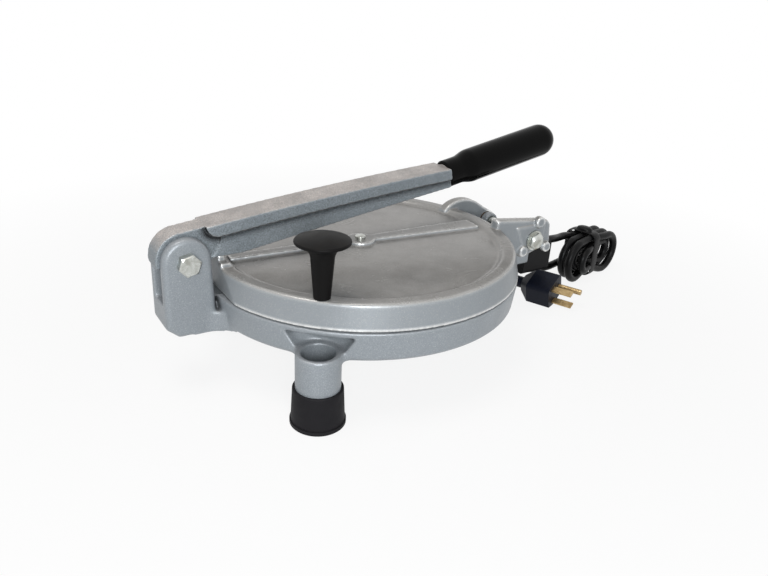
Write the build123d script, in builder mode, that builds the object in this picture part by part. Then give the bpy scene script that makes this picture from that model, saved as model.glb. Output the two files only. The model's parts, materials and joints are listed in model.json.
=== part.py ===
"""Electric tortilla press: heated base and hinged lid, pressed together by a pivoted lever.

Millimetres, +Z up, table at z = 0. X runs from the lever's tower to the lid's hinge, and
the origin lies under the middle of the press. Profiles are drawn from the plates' axis.
"""
from build123d import *
import math
import os

os.makedirs("parts", exist_ok=True)

# Base casting
BASE_R = 115.7
BASE_BOTTOM = 43.5
BASE_H = 20.9
BASE_DRAFT = 2.0
BASE_EDGE = 2.5
RIM_WALL = 18.4

# Heated plates, their elements and the pads behind them
PLATEN_T = 5.0
PLATEN_FIT = 0.3
PLATEN_LEDGE = 3.0
PLATEN_BOSS_R = 8.0
ELEMENT_INSET = 32.0
ELEMENT_GAP_DEG = 20.0
ELEMENT_LEG = 26.0
LOWER_TUBE_R = 4.0
UPPER_TUBE_R = 2.6
LOWER_PAD_T = 3.4
UPPER_PAD_T = 1.6
PAD_FIT = 0.5

# Lid casting
RIM_GAP = 0.8
LID_H = 17.0
LID_DRAFT = 3.6
LID_EDGE = 1.2
RIM_W = 8.7
RECESS = 3.0
RECESS_BEVEL = 3.5
PLATEN_PROUD = 0.4
FACET_CUT = 4.5
RIB_TURN = -5.0
RIB_INSET = 4.5
RIB_W_MID = 9.0
RIB_W_END = 17.0
RIB_STEP = 0.5
CENTRE_BOSS_R = 11.0
PRESS_PAD_W = 20.8
PRESS_PAD_L = 6.0
PRESS_PAD_RISE = 3.0
PRESS_PAD_SLOPE = 4.0
PRESS_RIDGE_W = 12.0
PRESS_RIDGE_L = 5.0
PRESS_GAP = 0.15

# Tower and lever pivot
TOWER_GAP = 5.3
PIVOT_SET = 17.0
PIVOT_Z = 91.5
CHEEK_R = 15.8
TOWER_W = 30.8
TOWER_LEAN = 0.7
TOWER_BOTTOM = 41.0
TOE_RUN = 8.0
TOE_RISE = 7.0
CHEEK_ROUND = 3.4
SLOT_W = 17.2
SLOT_FLOOR = 62.5
ARM_TOP = 55.5
ARM_FLARE_R = 16.0
ARM_BITE = 1.2
ARM_BLEND = 12.0
PIVOT_R = 4.0
PIVOT_HEAD_AF = 13.0
PIVOT_HEAD_H = 5.5
PIVOT_HEAD_BREAK = 0.7
PIVOT_NUT_H = 6.8
PIVOT_WASHER_R = 8.0
WASHER_T = 1.6
SHANK_FIT = 0.05
RUN_FIT = 0.05

# Lever
HEAD_R = 18.3
HEAD_FIT = 0.4
HEAD_CHIN = 3.7
HEAD_BOSS_R = 12.5
WEB_W = 18.6
WEB_CLEAR = 1.5
FLANGE_W = 22.8
FLANGE_H = 8.3
FLANGE_SET = 14.2
FLANGE_ROUND = 8.9
FLANGE_SILL = 12.6
WEB_SEAT_Z = 90.0
WEB_SEAT_L = 16.0
WEB_STEP_R = 19.7
WEB_STEP_X = 4.4
WEB_STEP_Z = 13.2
LEVER_BUSH_R = 7.5
GRIP_START = 72.0
GRIP_REACH = 178.0
LEVER_TOP_MID = 121.4
LEVER_TOP_END = 129.2
LEVER_LOW_MID = 100.6
LEVER_LOW_END = 115.6
LEVER_ROUND = 1.6

# Grip, a sleeve on the lever's tang
GRIP_Z = 121.3
GRIP_TILT_DEG = 10.8
GRIP_R = 12.7
NECK_R = 10.4
NECK_L = 12.0
NECK_BREAK = 0.8
FLARE_L = 13.0
TANG_R = 8.0
TANG_INSET = 5.0

# Feet
FOOT_ANGLE_DEG = 133.1
FOOT_INSET = 0.7
FOOT_FLARE_R = 16.0
FOOT_FLARE_BITE = 4.0
FOOT_FLARE_SINK = 0.6
POST_R = 14.4
POST_BOTTOM = 5.0
SOCKET_TOP = 49.8
SOCKET_R = 10.8
SOCKET_DEPTH = 30.0
POCKET_H = 10.6
POCKET_LOW_W = 16.0
POCKET_TOP_W = 23.0
BOOT_H = 25.6
BOOT_R = 16.1
BOOT_SPREAD = 1.2
BOOT_LIP = 0.6
BOOT_LIP_H = 3.0
BOOT_ROUND = 0.8
BOOT_BREAK = 0.6

# Lid hinge
HINGE_SET = 26.3
HINGE_Z = 68.5
HINGE_R = 4.0
HINGE_HEAD_AF = 12.0
HINGE_HEAD_H = 4.2
HINGE_HEAD_BREAK = 0.6
BOLT_PROUD = 2.0
HINGE_NUT_H = 6.4
HINGE_WASHER_R = 8.0
HINGE_WASHER_T = 1.2
HINGE_BUSH_R = 5.6
LUG_W = 48.0
LUG_R = 6.6
LUG_GAP = 34.0
LUG_TAIL = 8.0
LUG_STEP = 21.0
EAR_T = 9.5
EAR_FIT = 0.5
SIDE_PLAY = 0.2
EAR_BITE = 12.7
EAR_FOOT = 1.3
EAR_RISE = 21.3
EAR_CROWN = 14.2
EAR_CROWN_BACK = 15.0
EAR_BACK = 18.5
EAR_BACK_RISE = 10.5
EAR_HEEL = 20.5
EAR_HEEL_DROP = 6.0
EAR_DROP = 15.0
EAR_CHIN = 8.0
EAR_CHEST = 19.0
EAR_NECK = 25.0
EAR_ROUND = 2.0
EAR_PAD_T = 1.5
EAR_PAD_BACK = 11.0
EAR_PAD_RISE = 12.5
KNUCKLE_R = 4.6
KNUCKLE_BACK = 4.0
KNUCKLE_RISE = 14.5
KNUCKLE_T = 2.0
EAR_BOSS_R = 4.2
EAR_BOSS_DROP = 7.8
EAR_BOSS_FRONT = 10.5
EAR_BOSS_BACK = 14.5

# Lifting knob
KNOB_INSET = 9.0
KNOB_ANGLE_DEG = -133.3
KNOB_STEM_LOW_R = 5.25
KNOB_STEM_TOP_R = 7.3
KNOB_STEM_H = 26.3
KNOB_HEAD_R = 16.9
KNOB_H = 39.0
KNOB_EDGE = 2.0
KNOB_DOME = 2.2
STUD_R = 2.5
STUD_UP = 14.0
STUD_DOWN = 10.0

# Small screws
SCREW_R = 2.5
SCREW_HEAD_R = 4.0
SCREW_HEAD_H = 2.2
SCREW_HEAD_ROUND = 0.8

# Connection box under the hinge
BOX_L = 26.5
BOX_W = 40.0
BOX_LOW = 31.0
BOX_HIGH = 57.0
BOX_WALL = 2.5
BOX_ROUND = 3.0
COVER_T = 2.5
CHANNEL_R = 3.0
CHANNEL_Z = 51.0
BLOCK_L = 9.0
BLOCK_W = 22.0
BLOCK_H = 10.0
BLOCK_ROUND = 1.0
CLAMP_R = 2.0
CLAMP_H = 2.0
CLAMP_PITCH = 8.0
CLAMP_COUNT = 3
SMALL_SCREW_R = 1.5
SMALL_HEAD_R = 2.8
SMALL_HEAD_H = 1.6
SMALL_SCREW_L = 9.0
COVER_SCREW_INSET = 4.5
COVER_SCREW_Z = 36.4
BOX_SCREW_INSET = 6.0
BOX_SCREW_Z = 49.0
GLAND_Y = 6.0
GLAND_Z = 45.5
GLAND_R = 7.2
GLAND_L = 11.0
GLAND_NECK_R = 5.4
GLAND_INSERT = 1.5
GLAND_TAPER_DEG = 12.0

# Cord, its hank and its plug
CORD_R = 3.5
HANK_X = 262.0
HANK_Y = 14.0
HANK_TURN_DEG = 13.0
HANK_HALF_RUN = 20.0
HANK_IN_R = 8.0
HANK_OUT_R = 16.0
HANK_STEP = 8.8
HANK_LAYERS = 3
TIE_L = 10.0
TIE_U = -7.0
TIE_T = 2.0
TIE_TOP = 7.0
TIE_ROUND = 10.0
TIE_INNER_ROUND = 3.2
LEAD_OUT = 13.9
LEAD_IN = 10.3
TAIL_OUT = 13.2
TAIL_IN = 11.0
PLUG_X = 183.0
PLUG_Y = -29.0
PLUG_Z = 12.0
PLUG_TURN_DEG = -68.0
PLUG_W = 26.0
PLUG_H = 22.0
PLUG_ROLL_DEG = 20.0
PLUG_FACE_L = 21.0
PLUG_TAPER_L = 8.0
PLUG_TAIL_W = 13.0
PLUG_ROUND = 4.0
RELIEF_R = 5.0
RELIEF_L = 10.0
BLADE_W = 6.3
BLADE_T = 1.5
BLADE_L = 17.0
BLADE_PITCH = 12.7
BLADE_SHIFT = -4.0
EARTH_R = 2.4
EARTH_L = 20.0
EARTH_SHIFT = 7.9

# Levels and radii that follow from the sizes above
BASE_TOP = BASE_BOTTOM + BASE_H
SEAT_R = BASE_R - RIM_WALL
PLATEN_R = SEAT_R - PLATEN_FIT
WELL_R = PLATEN_R - PLATEN_LEDGE
ELEMENT_R = WELL_R - ELEMENT_INSET
FACET_REACH = BASE_R - FACET_CUT
TOWER_BACK = FACET_REACH + TOWER_GAP
PIVOT_REACH = TOWER_BACK + PIVOT_SET
TOWER_REACH = PIVOT_REACH + CHEEK_R + TOWER_LEAN
HINGE_REACH = BASE_R + HINGE_SET
LUG_BACK = HINGE_REACH + LUG_TAIL
EAR_ROOT = BASE_R - EAR_BITE
KNOB_REACH = BASE_R - KNOB_INSET
FOOT_REACH = BASE_R - FOOT_INSET
BASE_LOW_R = BASE_R - BASE_DRAFT
LOWER_SEAT_Z = BASE_TOP - PLATEN_T
LOWER_TUBE_Z = LOWER_SEAT_Z - LOWER_TUBE_R
LOWER_PAD_Z = LOWER_TUBE_Z - LOWER_TUBE_R - LOWER_PAD_T
LID_BOTTOM = BASE_TOP + RIM_GAP
LID_TOP = LID_BOTTOM + LID_H
LID_TOP_R = BASE_R - LID_DRAFT
RECESS_R = LID_TOP_R - RIM_W
RECESS_Z = LID_TOP - RECESS
RIB_REACH = RECESS_R - RIB_INSET
UPPER_FACE_Z = LID_BOTTOM - PLATEN_PROUD
UPPER_SEAT_Z = UPPER_FACE_Z + PLATEN_T
UPPER_TUBE_Z = UPPER_SEAT_Z + UPPER_TUBE_R
UPPER_PAD_Z = UPPER_TUBE_Z + UPPER_TUBE_R
LID_CEILING = UPPER_PAD_Z + UPPER_PAD_T
PAD_R = WELL_R - PAD_FIT
HEAD_W = SLOT_W - HEAD_FIT
PRESS_PAD_TOP = LID_TOP + PRESS_PAD_RISE
PRESS_RIDGE_TOP = WEB_SEAT_Z - PRESS_GAP
EAR_IN = LUG_W / 2 + EAR_FIT
EAR_OUT = EAR_IN + EAR_T
HINGE_FACE = EAR_OUT + SIDE_PLAY
BOX_FRONT = LUG_BACK
COVER_FRONT = BOX_FRONT + BOX_L
COVER_BACK = COVER_FRONT + COVER_T
DISC_X = (PIVOT_REACH + HEAD_R - max(GRIP_REACH, COVER_BACK + GLAND_L)) / 2
BOX_SCREW_PITCH = BOX_W - 2 * BOX_SCREW_INSET
COVER_SCREW_PITCH = BOX_W - 2 * COVER_SCREW_INSET
FLARE_HUB = BASE_LOW_R - ARM_BITE
FLARE_Y = TOWER_W / 2 + ARM_FLARE_R
FLARE_X = -math.sqrt((FLARE_HUB + ARM_FLARE_R) ** 2 - FLARE_Y**2)
AXIS = Axis((DISC_X, 0, 0), (0, 0, 1))


def level(z):
    """Level plane at height z, centred on the plates' axis."""
    return Plane(origin=(DISC_X, 0, z))


def side(y):
    """Upright plane seen from the front side, at y, with X to the right and Z up."""
    return Plane(origin=(DISC_X, y, 0), x_dir=(1, 0, 0), z_dir=(0, -1, 0))


def polar(radius, degrees):
    """Point at a radius and an angle about the plates' axis."""
    return (radius * math.cos(math.radians(degrees)), radius * math.sin(math.radians(degrees)))


FRONT_FEET = (polar(FOOT_REACH, FOOT_ANGLE_DEG), polar(FOOT_REACH, -FOOT_ANGLE_DEG))
FEET = FRONT_FEET + ((FOOT_REACH, 0.0),)
KNOB_SPOT = polar(KNOB_REACH, KNOB_ANGLE_DEG)
KNOB_AXIS = Axis((DISC_X + KNOB_SPOT[0], KNOB_SPOT[1], 0), (0, 0, 1))
KNOB_SIDE = Plane(origin=(DISC_X + KNOB_SPOT[0], KNOB_SPOT[1], 0), x_dir=(1, 0, 0), z_dir=(0, -1, 0))

# Base casting: forked tower first, so that its cheeks are rounded before the disc joins it
with BuildPart() as base_casting:
    with BuildSketch(side(0)):
        with BuildLine():
            toe = Line((-TOWER_REACH + TOE_RUN, TOWER_BOTTOM), (-TOWER_REACH, TOWER_BOTTOM + TOE_RISE))
            front = Line(toe @ 1, (-PIVOT_REACH - CHEEK_R, PIVOT_Z))
            crown = ThreePointArc(
                front @ 1, (-PIVOT_REACH, PIVOT_Z + CHEEK_R), (-PIVOT_REACH + CHEEK_R, PIVOT_Z)
            )
            back = Line(crown @ 1, (-TOWER_BACK, ARM_TOP))
            drop = Line(back @ 1, (-TOWER_BACK, TOWER_BOTTOM))
            Line(drop @ 1, toe @ 0)
        make_face()
    extrude(amount=TOWER_W / 2, both=True)
    fillet(base_casting.faces().filter_by(Axis.Y).edges(), CHEEK_ROUND)
    # arm that flares from the tower into the disc
    with BuildSketch(level(TOWER_BOTTOM)) as arm_plan:
        with BuildLine():
            inward = FLARE_HUB / (FLARE_HUB + ARM_FLARE_R)
            flare_end = (FLARE_X * inward, FLARE_Y * inward)
            near = Line((FLARE_X - CHEEK_R / 2, 0), (FLARE_X - CHEEK_R / 2, TOWER_W / 2))
            edge = Line(near @ 1, (FLARE_X, TOWER_W / 2))
            sweep_out = TangentArc(edge @ 1, flare_end, tangent=(1, 0))
            inner = Line(sweep_out @ 1, (flare_end[0], 0))
            Line(inner @ 1, near @ 0)
        make_face()
        mirror(about=Plane.XZ)
    extrude(amount=ARM_TOP - TOWER_BOTTOM)
    # blend from the arm's top up to the disc, and its underside drawn up to the disc's
    with BuildSketch(level(ARM_TOP)):
        add(arm_plan.sketch_local)
        with Locations((-TOWER_BACK - CHEEK_R, 0)):
            Rectangle(2 * CHEEK_R, 2 * FLARE_Y, mode=Mode.SUBTRACT)
    extrude(amount=BASE_TOP - ARM_BITE - ARM_TOP)
    with BuildSketch(side(0)):
        with BuildLine():
            rise = TangentArc((-TOWER_BACK, ARM_TOP), (-TOWER_BACK + ARM_BLEND, BASE_TOP), tangent=(1, 0))
            Polyline(rise @ 1, (-TOWER_BACK, BASE_TOP), rise @ 0)
        make_face()
    extrude(amount=FLARE_Y, both=True, mode=Mode.SUBTRACT)
    with BuildSketch(side(0)):
        Polygon(
            (-TOWER_BACK + ARM_BITE, TOWER_BOTTOM),
            (-TOWER_BACK + ARM_BLEND, BASE_BOTTOM),
            (-TOWER_BACK + ARM_BLEND, TOWER_BOTTOM),
            align=None,
        )
    extrude(amount=FLARE_Y, both=True, mode=Mode.SUBTRACT)
    # disc with draft and a broken lower edge
    with BuildSketch(side(0)):
        Polygon(
            (0, BASE_BOTTOM),
            (BASE_LOW_R - BASE_EDGE, BASE_BOTTOM),
            (BASE_LOW_R, BASE_BOTTOM + BASE_EDGE),
            (BASE_R, BASE_TOP),
            (0, BASE_TOP),
            align=None,
        )
    revolve(axis=AXIS)
    # walls that flare from the disc round the front legs
    with BuildSketch(level(BASE_BOTTOM)) as leg_plan:
        Circle(BASE_LOW_R - FOOT_FLARE_BITE)
        with Locations(*FRONT_FEET):
            Circle(POST_R - FOOT_FLARE_SINK)
        fillet(leg_plan.vertices().filter_by(lambda corner: corner.X < 0), FOOT_FLARE_R)
    extrude(amount=SOCKET_TOP + POCKET_H - BASE_BOTTOM)
    # leg posts
    with BuildSketch(level(POST_BOTTOM)):
        with Locations(*FEET):
            Circle(POST_R)
    extrude(amount=SOCKET_TOP - POST_BOTTOM)
    # hinge lug behind the disc
    with BuildSketch(side(0)):
        Polygon(
            (WELL_R, BASE_BOTTOM),
            (LUG_BACK, BASE_BOTTOM),
            (LUG_BACK, HINGE_Z - LUG_R),
            (HINGE_REACH + LUG_R, HINGE_Z),
            (HINGE_REACH - LUG_R, HINGE_Z),
            (HINGE_REACH - LUG_STEP, BASE_TOP - RIM_GAP),
            (WELL_R, BASE_TOP - RIM_GAP),
            align=None,
        )
        with Locations((HINGE_REACH, HINGE_Z)):
            Circle(LUG_R)
    extrude(amount=LUG_W / 2, both=True)
    # gap that leaves one knuckle of the lug beside each ear
    with BuildSketch(side(0)):
        Polygon(
            (BASE_R + RIM_GAP, HINGE_Z - LUG_R),
            (LUG_BACK + LUG_R, HINGE_Z - LUG_R),
            (LUG_BACK + LUG_R, HINGE_Z + 2 * LUG_R),
            (BASE_R + RIM_GAP, HINGE_Z + 2 * LUG_R),
            align=None,
        )
    extrude(amount=LUG_GAP / 2, both=True, mode=Mode.SUBTRACT)
    # seat and well for the plate, its element and its pad
    with BuildSketch(side(0)):
        Polygon(
            (0, BASE_TOP),
            (SEAT_R, BASE_TOP),
            (SEAT_R, LOWER_SEAT_Z),
            (WELL_R, LOWER_SEAT_Z),
            (WELL_R, LOWER_PAD_Z),
            (0, LOWER_PAD_Z),
            align=None,
        )
    revolve(axis=AXIS, mode=Mode.SUBTRACT)
    # lever slot through the tower
    with BuildSketch(level(SLOT_FLOOR)):
        with Locations((-PIVOT_REACH, 0)):
            Rectangle(4 * CHEEK_R, SLOT_W)
    extrude(amount=PIVOT_Z, mode=Mode.SUBTRACT)
    # leg sockets, each with a pocket in the wall above it that widens upward
    for spot, turn in zip(FRONT_FEET, (FOOT_ANGLE_DEG, -FOOT_ANGLE_DEG)):
        with BuildSketch(level(SOCKET_TOP)):
            with Locations(spot):
                Ellipse(POST_R, POCKET_LOW_W, rotation=turn)
        with BuildSketch(level(SOCKET_TOP + POCKET_H)):
            with Locations(spot):
                Ellipse(POST_R, POCKET_TOP_W, rotation=turn)
        loft(mode=Mode.SUBTRACT)
    with BuildSketch(level(SOCKET_TOP)):
        with Locations(*FRONT_FEET):
            Circle(SOCKET_R)
    extrude(amount=-SOCKET_DEPTH, mode=Mode.SUBTRACT)
    # bores for the pivot and the hinge, wire channel and plate screw
    with BuildSketch(side(0)):
        with Locations((-PIVOT_REACH, PIVOT_Z)):
            Circle(PIVOT_R + SHANK_FIT)
    extrude(amount=TOWER_W, both=True, mode=Mode.SUBTRACT)
    with BuildSketch(side(0)):
        with Locations((HINGE_REACH, HINGE_Z)):
            Circle(HINGE_R)
    extrude(amount=LUG_W, both=True, mode=Mode.SUBTRACT)
    with BuildSketch(Plane(origin=(DISC_X + WELL_R - 2 * CHANNEL_R, 0, CHANNEL_Z), z_dir=(1, 0, 0))):
        Circle(CHANNEL_R)
    extrude(amount=LUG_BACK, mode=Mode.SUBTRACT)
    with BuildSketch(level(BASE_BOTTOM)):
        Circle(SCREW_R)
    extrude(amount=BASE_H, mode=Mode.SUBTRACT)
    with BuildSketch(Plane(origin=(DISC_X + LUG_BACK, 0, BOX_SCREW_Z), x_dir=(0, 1, 0), z_dir=(1, 0, 0))):
        with GridLocations(BOX_SCREW_PITCH, 1, 2, 1):
            Circle(SMALL_SCREW_R)
    extrude(amount=BOX_WALL - SMALL_SCREW_L, mode=Mode.SUBTRACT)
base_casting.part.label = "base_casting"
export_step(base_casting.part, "parts/base_casting.step")

# Rubber boots over the lower ends of the posts
with BuildPart() as foot_boots:
    with BuildSketch(level(0)):
        with Locations(*FEET):
            Circle(BOOT_R + BOOT_SPREAD)
    extrude(amount=BOOT_H, taper=math.degrees(math.atan(BOOT_SPREAD / BOOT_H)))
    fillet(foot_boots.edges().group_by(Axis.Z)[-1], BOOT_ROUND)
    with BuildSketch(level(0)):
        with Locations(*FEET):
            Circle(BOOT_R + BOOT_SPREAD + BOOT_LIP)
    extrude(amount=BOOT_LIP_H)
    chamfer(foot_boots.edges().group_by(Axis.Z)[0], BOOT_BREAK)
    with BuildSketch(level(POST_BOTTOM)):
        with Locations(*FEET):
            Circle(POST_R)
    extrude(amount=BOOT_H, mode=Mode.SUBTRACT)
foot_boots.part.label = "foot_boots"
export_step(foot_boots.part, "parts/foot_boots.step")

# Lower plate with the boss that its screw draws down
with BuildPart() as lower_platen:
    with BuildSketch(level(LOWER_SEAT_Z)):
        Circle(PLATEN_R)
    extrude(amount=PLATEN_T)
    with BuildSketch(level(LOWER_PAD_Z)):
        Circle(PLATEN_BOSS_R)
    extrude(amount=LOWER_SEAT_Z - LOWER_PAD_Z)
    with BuildSketch(level(LOWER_PAD_Z)):
        Circle(SCREW_R)
    extrude(amount=LOWER_SEAT_Z - LOWER_PAD_Z, mode=Mode.SUBTRACT)
lower_platen.part.label = "lower_platen"
export_step(lower_platen.part, "parts/lower_platen.step")

with BuildPart() as platen_screw:
    with BuildSketch(level(BASE_BOTTOM - SCREW_HEAD_H)):
        Circle(SCREW_HEAD_R)
    extrude(amount=SCREW_HEAD_H)
    fillet(platen_screw.edges().group_by(Axis.Z)[0], SCREW_HEAD_ROUND)
    with BuildSketch(level(BASE_BOTTOM)):
        Circle(SCREW_R)
    extrude(amount=LOWER_SEAT_Z - BASE_BOTTOM)
platen_screw.part.label = "platen_screw"
export_step(platen_screw.part, "parts/platen_screw.step")

# Tubular elements: an open ring whose two ends turn out to the rear
half_gap = ELEMENT_GAP_DEG / 2
LEG_SPOTS = (polar(ELEMENT_R, half_gap), polar(ELEMENT_R, -half_gap))
with BuildPart() as lower_element:
    with BuildSketch(Plane(origin=(DISC_X, 0, 0), x_dir=(*polar(1, half_gap), 0), z_dir=(
        math.sin(math.radians(half_gap)), -math.cos(math.radians(half_gap)), 0
    ))):
        with Locations((ELEMENT_R, LOWER_TUBE_Z)):
            Circle(LOWER_TUBE_R)
    revolve(axis=AXIS, revolution_arc=360 - ELEMENT_GAP_DEG)
    for spot in LEG_SPOTS:
        with BuildSketch(Plane(origin=(DISC_X + spot[0], spot[1], LOWER_TUBE_Z), z_dir=(1, 0, 0))):
            Circle(LOWER_TUBE_R)
        extrude(amount=ELEMENT_LEG)
        with Locations((DISC_X + spot[0], spot[1], LOWER_TUBE_Z)):
            Sphere(LOWER_TUBE_R)
lower_element.part.label = "lower_element"
export_step(lower_element.part, "parts/lower_element.step")

with BuildPart() as upper_element:
    with BuildSketch(Plane(origin=(DISC_X, 0, 0), x_dir=(*polar(1, half_gap), 0), z_dir=(
        math.sin(math.radians(half_gap)), -math.cos(math.radians(half_gap)), 0
    ))):
        with Locations((ELEMENT_R, UPPER_TUBE_Z)):
            Circle(UPPER_TUBE_R)
    revolve(axis=AXIS, revolution_arc=360 - ELEMENT_GAP_DEG)
    for spot in LEG_SPOTS:
        with BuildSketch(Plane(origin=(DISC_X + spot[0], spot[1], UPPER_TUBE_Z), z_dir=(1, 0, 0))):
            Circle(UPPER_TUBE_R)
        extrude(amount=ELEMENT_LEG)
        with Locations((DISC_X + spot[0], spot[1], UPPER_TUBE_Z)):
            Sphere(UPPER_TUBE_R)
upper_element.part.label = "upper_element"
export_step(upper_element.part, "parts/upper_element.step")

# Heat-proof pads
with BuildPart() as lower_insulation:
    with BuildSketch(level(LOWER_PAD_Z)):
        Circle(PAD_R)
        Circle(PLATEN_BOSS_R + PAD_FIT, mode=Mode.SUBTRACT)
    extrude(amount=LOWER_PAD_T)
lower_insulation.part.label = "lower_insulation"
export_step(lower_insulation.part, "parts/lower_insulation.step")

with BuildPart() as upper_insulation:
    with BuildSketch(level(UPPER_PAD_Z)):
        Circle(PAD_R)
        Circle(PLATEN_BOSS_R + PAD_FIT, mode=Mode.SUBTRACT)
    extrude(amount=UPPER_PAD_T)
upper_insulation.part.label = "upper_insulation"
export_step(upper_insulation.part, "parts/upper_insulation.step")

# Upper plate
with BuildPart() as upper_platen:
    with BuildSketch(level(UPPER_FACE_Z)):
        Circle(PLATEN_R)
    extrude(amount=PLATEN_T)
    with BuildSketch(level(UPPER_SEAT_Z)):
        Circle(PLATEN_BOSS_R)
    extrude(amount=LID_CEILING - UPPER_SEAT_Z)
    with BuildSketch(level(UPPER_SEAT_Z)):
        Circle(SCREW_R)
    extrude(amount=LID_CEILING - UPPER_SEAT_Z, mode=Mode.SUBTRACT)
upper_platen.part.label = "upper_platen"
export_step(upper_platen.part, "parts/upper_platen.step")

# Lid casting: rimmed disc, press pad, rib, centre boss and two hinge ears
BOSS_TOP = LID_TOP - RIB_STEP
EAR_FOOT_Z = LID_BOTTOM + EAR_FOOT
EAR_TAIL = [
    (HINGE_REACH - EAR_CHIN, HINGE_Z - EAR_DROP),
    (HINGE_REACH - EAR_CHEST, HINGE_Z - EAR_CHIN),
    (HINGE_REACH - EAR_NECK, EAR_FOOT_Z),
]
# far ear's upper line, from the rim over a hump and down past the hinge
FAR_EAR_LINE = [(-46, 12.6), (-39, 17.8), (-23, 20.1), (-12, 16.5), (-3, 10.6), (5, 6.2), (12, 0.6), (17, -6)]
FAR_EAR = [(HINGE_REACH + x, HINGE_Z + z) for x, z in FAR_EAR_LINE]
with BuildPart() as lid_casting:
    # ears first, so that their outer edges are rounded before the disc joins them
    with BuildSketch(side(-EAR_IN)):
        Polygon(
            (EAR_ROOT, EAR_FOOT_Z),
            (EAR_ROOT, HINGE_Z + EAR_RISE),
            (HINGE_REACH + EAR_CROWN_BACK, HINGE_Z + EAR_CROWN),
            (HINGE_REACH + EAR_BACK, HINGE_Z + EAR_BACK_RISE),
            (HINGE_REACH + EAR_HEEL, HINGE_Z - EAR_HEEL_DROP),
            *EAR_TAIL,
            align=None,
        )
    extrude(amount=EAR_T - EAR_PAD_T)
    with BuildSketch(side(EAR_OUT)):
        with BuildLine():
            hump = Spline(*FAR_EAR)
            Polyline(hump @ 1, *EAR_TAIL, (FAR_EAR[0][0], EAR_FOOT_Z), hump @ 0)
        make_face()
    extrude(amount=EAR_T)
    ear_faces = lid_casting.faces().filter_by(Axis.Y).sort_by(Axis.Y)
    fillet(ear_faces[0].edges() + ear_faces[-1].edges(), EAR_ROUND)
    # raised pad, knuckle and small bosses on the near ear
    with BuildSketch(side(-EAR_OUT + EAR_PAD_T)):
        Polygon(
            (HINGE_REACH - EAR_CHEST, HINGE_Z + EAR_PAD_RISE),
            (HINGE_REACH + EAR_PAD_BACK, HINGE_Z + EAR_PAD_RISE),
            (HINGE_REACH + EAR_PAD_BACK, HINGE_Z - EAR_CHIN),
            (HINGE_REACH - EAR_CHEST / 2, HINGE_Z - EAR_CHIN),
            align=None,
        )
    extrude(amount=EAR_PAD_T)
    with BuildSketch(side(-EAR_OUT + EAR_PAD_T + EAR_ROUND)):
        with Locations((HINGE_REACH + KNUCKLE_BACK, HINGE_Z + KNUCKLE_RISE)):
            Circle(KNUCKLE_R)
        with Locations(
            (HINGE_REACH - EAR_BOSS_FRONT, HINGE_Z - EAR_BOSS_DROP),
            (HINGE_REACH + EAR_BOSS_BACK, HINGE_Z - EAR_BOSS_DROP),
        ):
            Circle(EAR_BOSS_R)
    extrude(amount=EAR_ROUND + EAR_PAD_T + KNUCKLE_T)
    # rimmed disc
    with BuildSketch(side(0)):
        Polygon(
            (0, LID_BOTTOM),
            (BASE_R, LID_BOTTOM),
            (LID_TOP_R, LID_TOP - LID_EDGE),
            (LID_TOP_R - LID_EDGE, LID_TOP),
            (RECESS_R, LID_TOP),
            (RECESS_R - RECESS_BEVEL, RECESS_Z),
            (0, RECESS_Z),
            align=None,
        )
    revolve(axis=AXIS)
    # rib, waisted at the centre boss
    with BuildSketch(level(RECESS_Z)):
        Circle(CENTRE_BOSS_R)
        with BuildLine(Plane.XY.rotated((0, 0, RIB_TURN))):
            Polyline(
                (-RIB_REACH, RIB_W_MID / 2),
                (0, RIB_W_MID / 2),
                (RIB_REACH, RIB_W_END / 2),
                (RIB_REACH, -RIB_W_END / 2),
                (0, -RIB_W_MID / 2),
                (-RIB_REACH, -RIB_W_MID / 2),
                close=True,
            )
        make_face()
    extrude(amount=BOSS_TOP - RECESS_Z)
    # low pad, with the ridge that the lever bears on
    with BuildSketch(side(0)):
        Polygon(
            (-FACET_REACH, RECESS_Z),
            (-FACET_REACH, PRESS_PAD_TOP),
            (-FACET_REACH + PRESS_PAD_L, PRESS_PAD_TOP),
            (-FACET_REACH + PRESS_PAD_L + PRESS_PAD_SLOPE, LID_TOP),
            (-FACET_REACH + PRESS_PAD_L + PRESS_PAD_SLOPE, RECESS_Z),
            align=None,
        )
    extrude(amount=PRESS_PAD_W / 2, both=True)
    with BuildSketch(side(0)):
        with BuildLine():
            rise = Line((-FACET_REACH, LID_TOP), (-FACET_REACH, PRESS_RIDGE_TOP - PRESS_RIDGE_L / 2))
            crest = ThreePointArc(
                rise @ 1,
                (-FACET_REACH + PRESS_RIDGE_L / 2, PRESS_RIDGE_TOP),
                (-FACET_REACH + PRESS_RIDGE_L, PRESS_RIDGE_TOP - PRESS_RIDGE_L / 2),
            )
            Polyline(crest @ 1, (-FACET_REACH + PRESS_RIDGE_L, LID_TOP), rise @ 0)
        make_face()
    extrude(amount=PRESS_RIDGE_W / 2, both=True)
    # well for the plate, its element and its pad
    with BuildSketch(side(0)):
        Polygon(
            (0, LID_BOTTOM),
            (SEAT_R, LID_BOTTOM),
            (SEAT_R, UPPER_SEAT_Z),
            (WELL_R, UPPER_SEAT_Z),
            (WELL_R, LID_CEILING),
            (0, LID_CEILING),
            align=None,
        )
    revolve(axis=AXIS, mode=Mode.SUBTRACT)
    # flat facet beside the tower
    with BuildSketch(level(LID_BOTTOM)):
        with Locations((-FACET_REACH - CHEEK_R, 0)):
            Rectangle(2 * CHEEK_R, 2 * BASE_R)
    extrude(amount=LID_H, mode=Mode.SUBTRACT)
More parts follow.
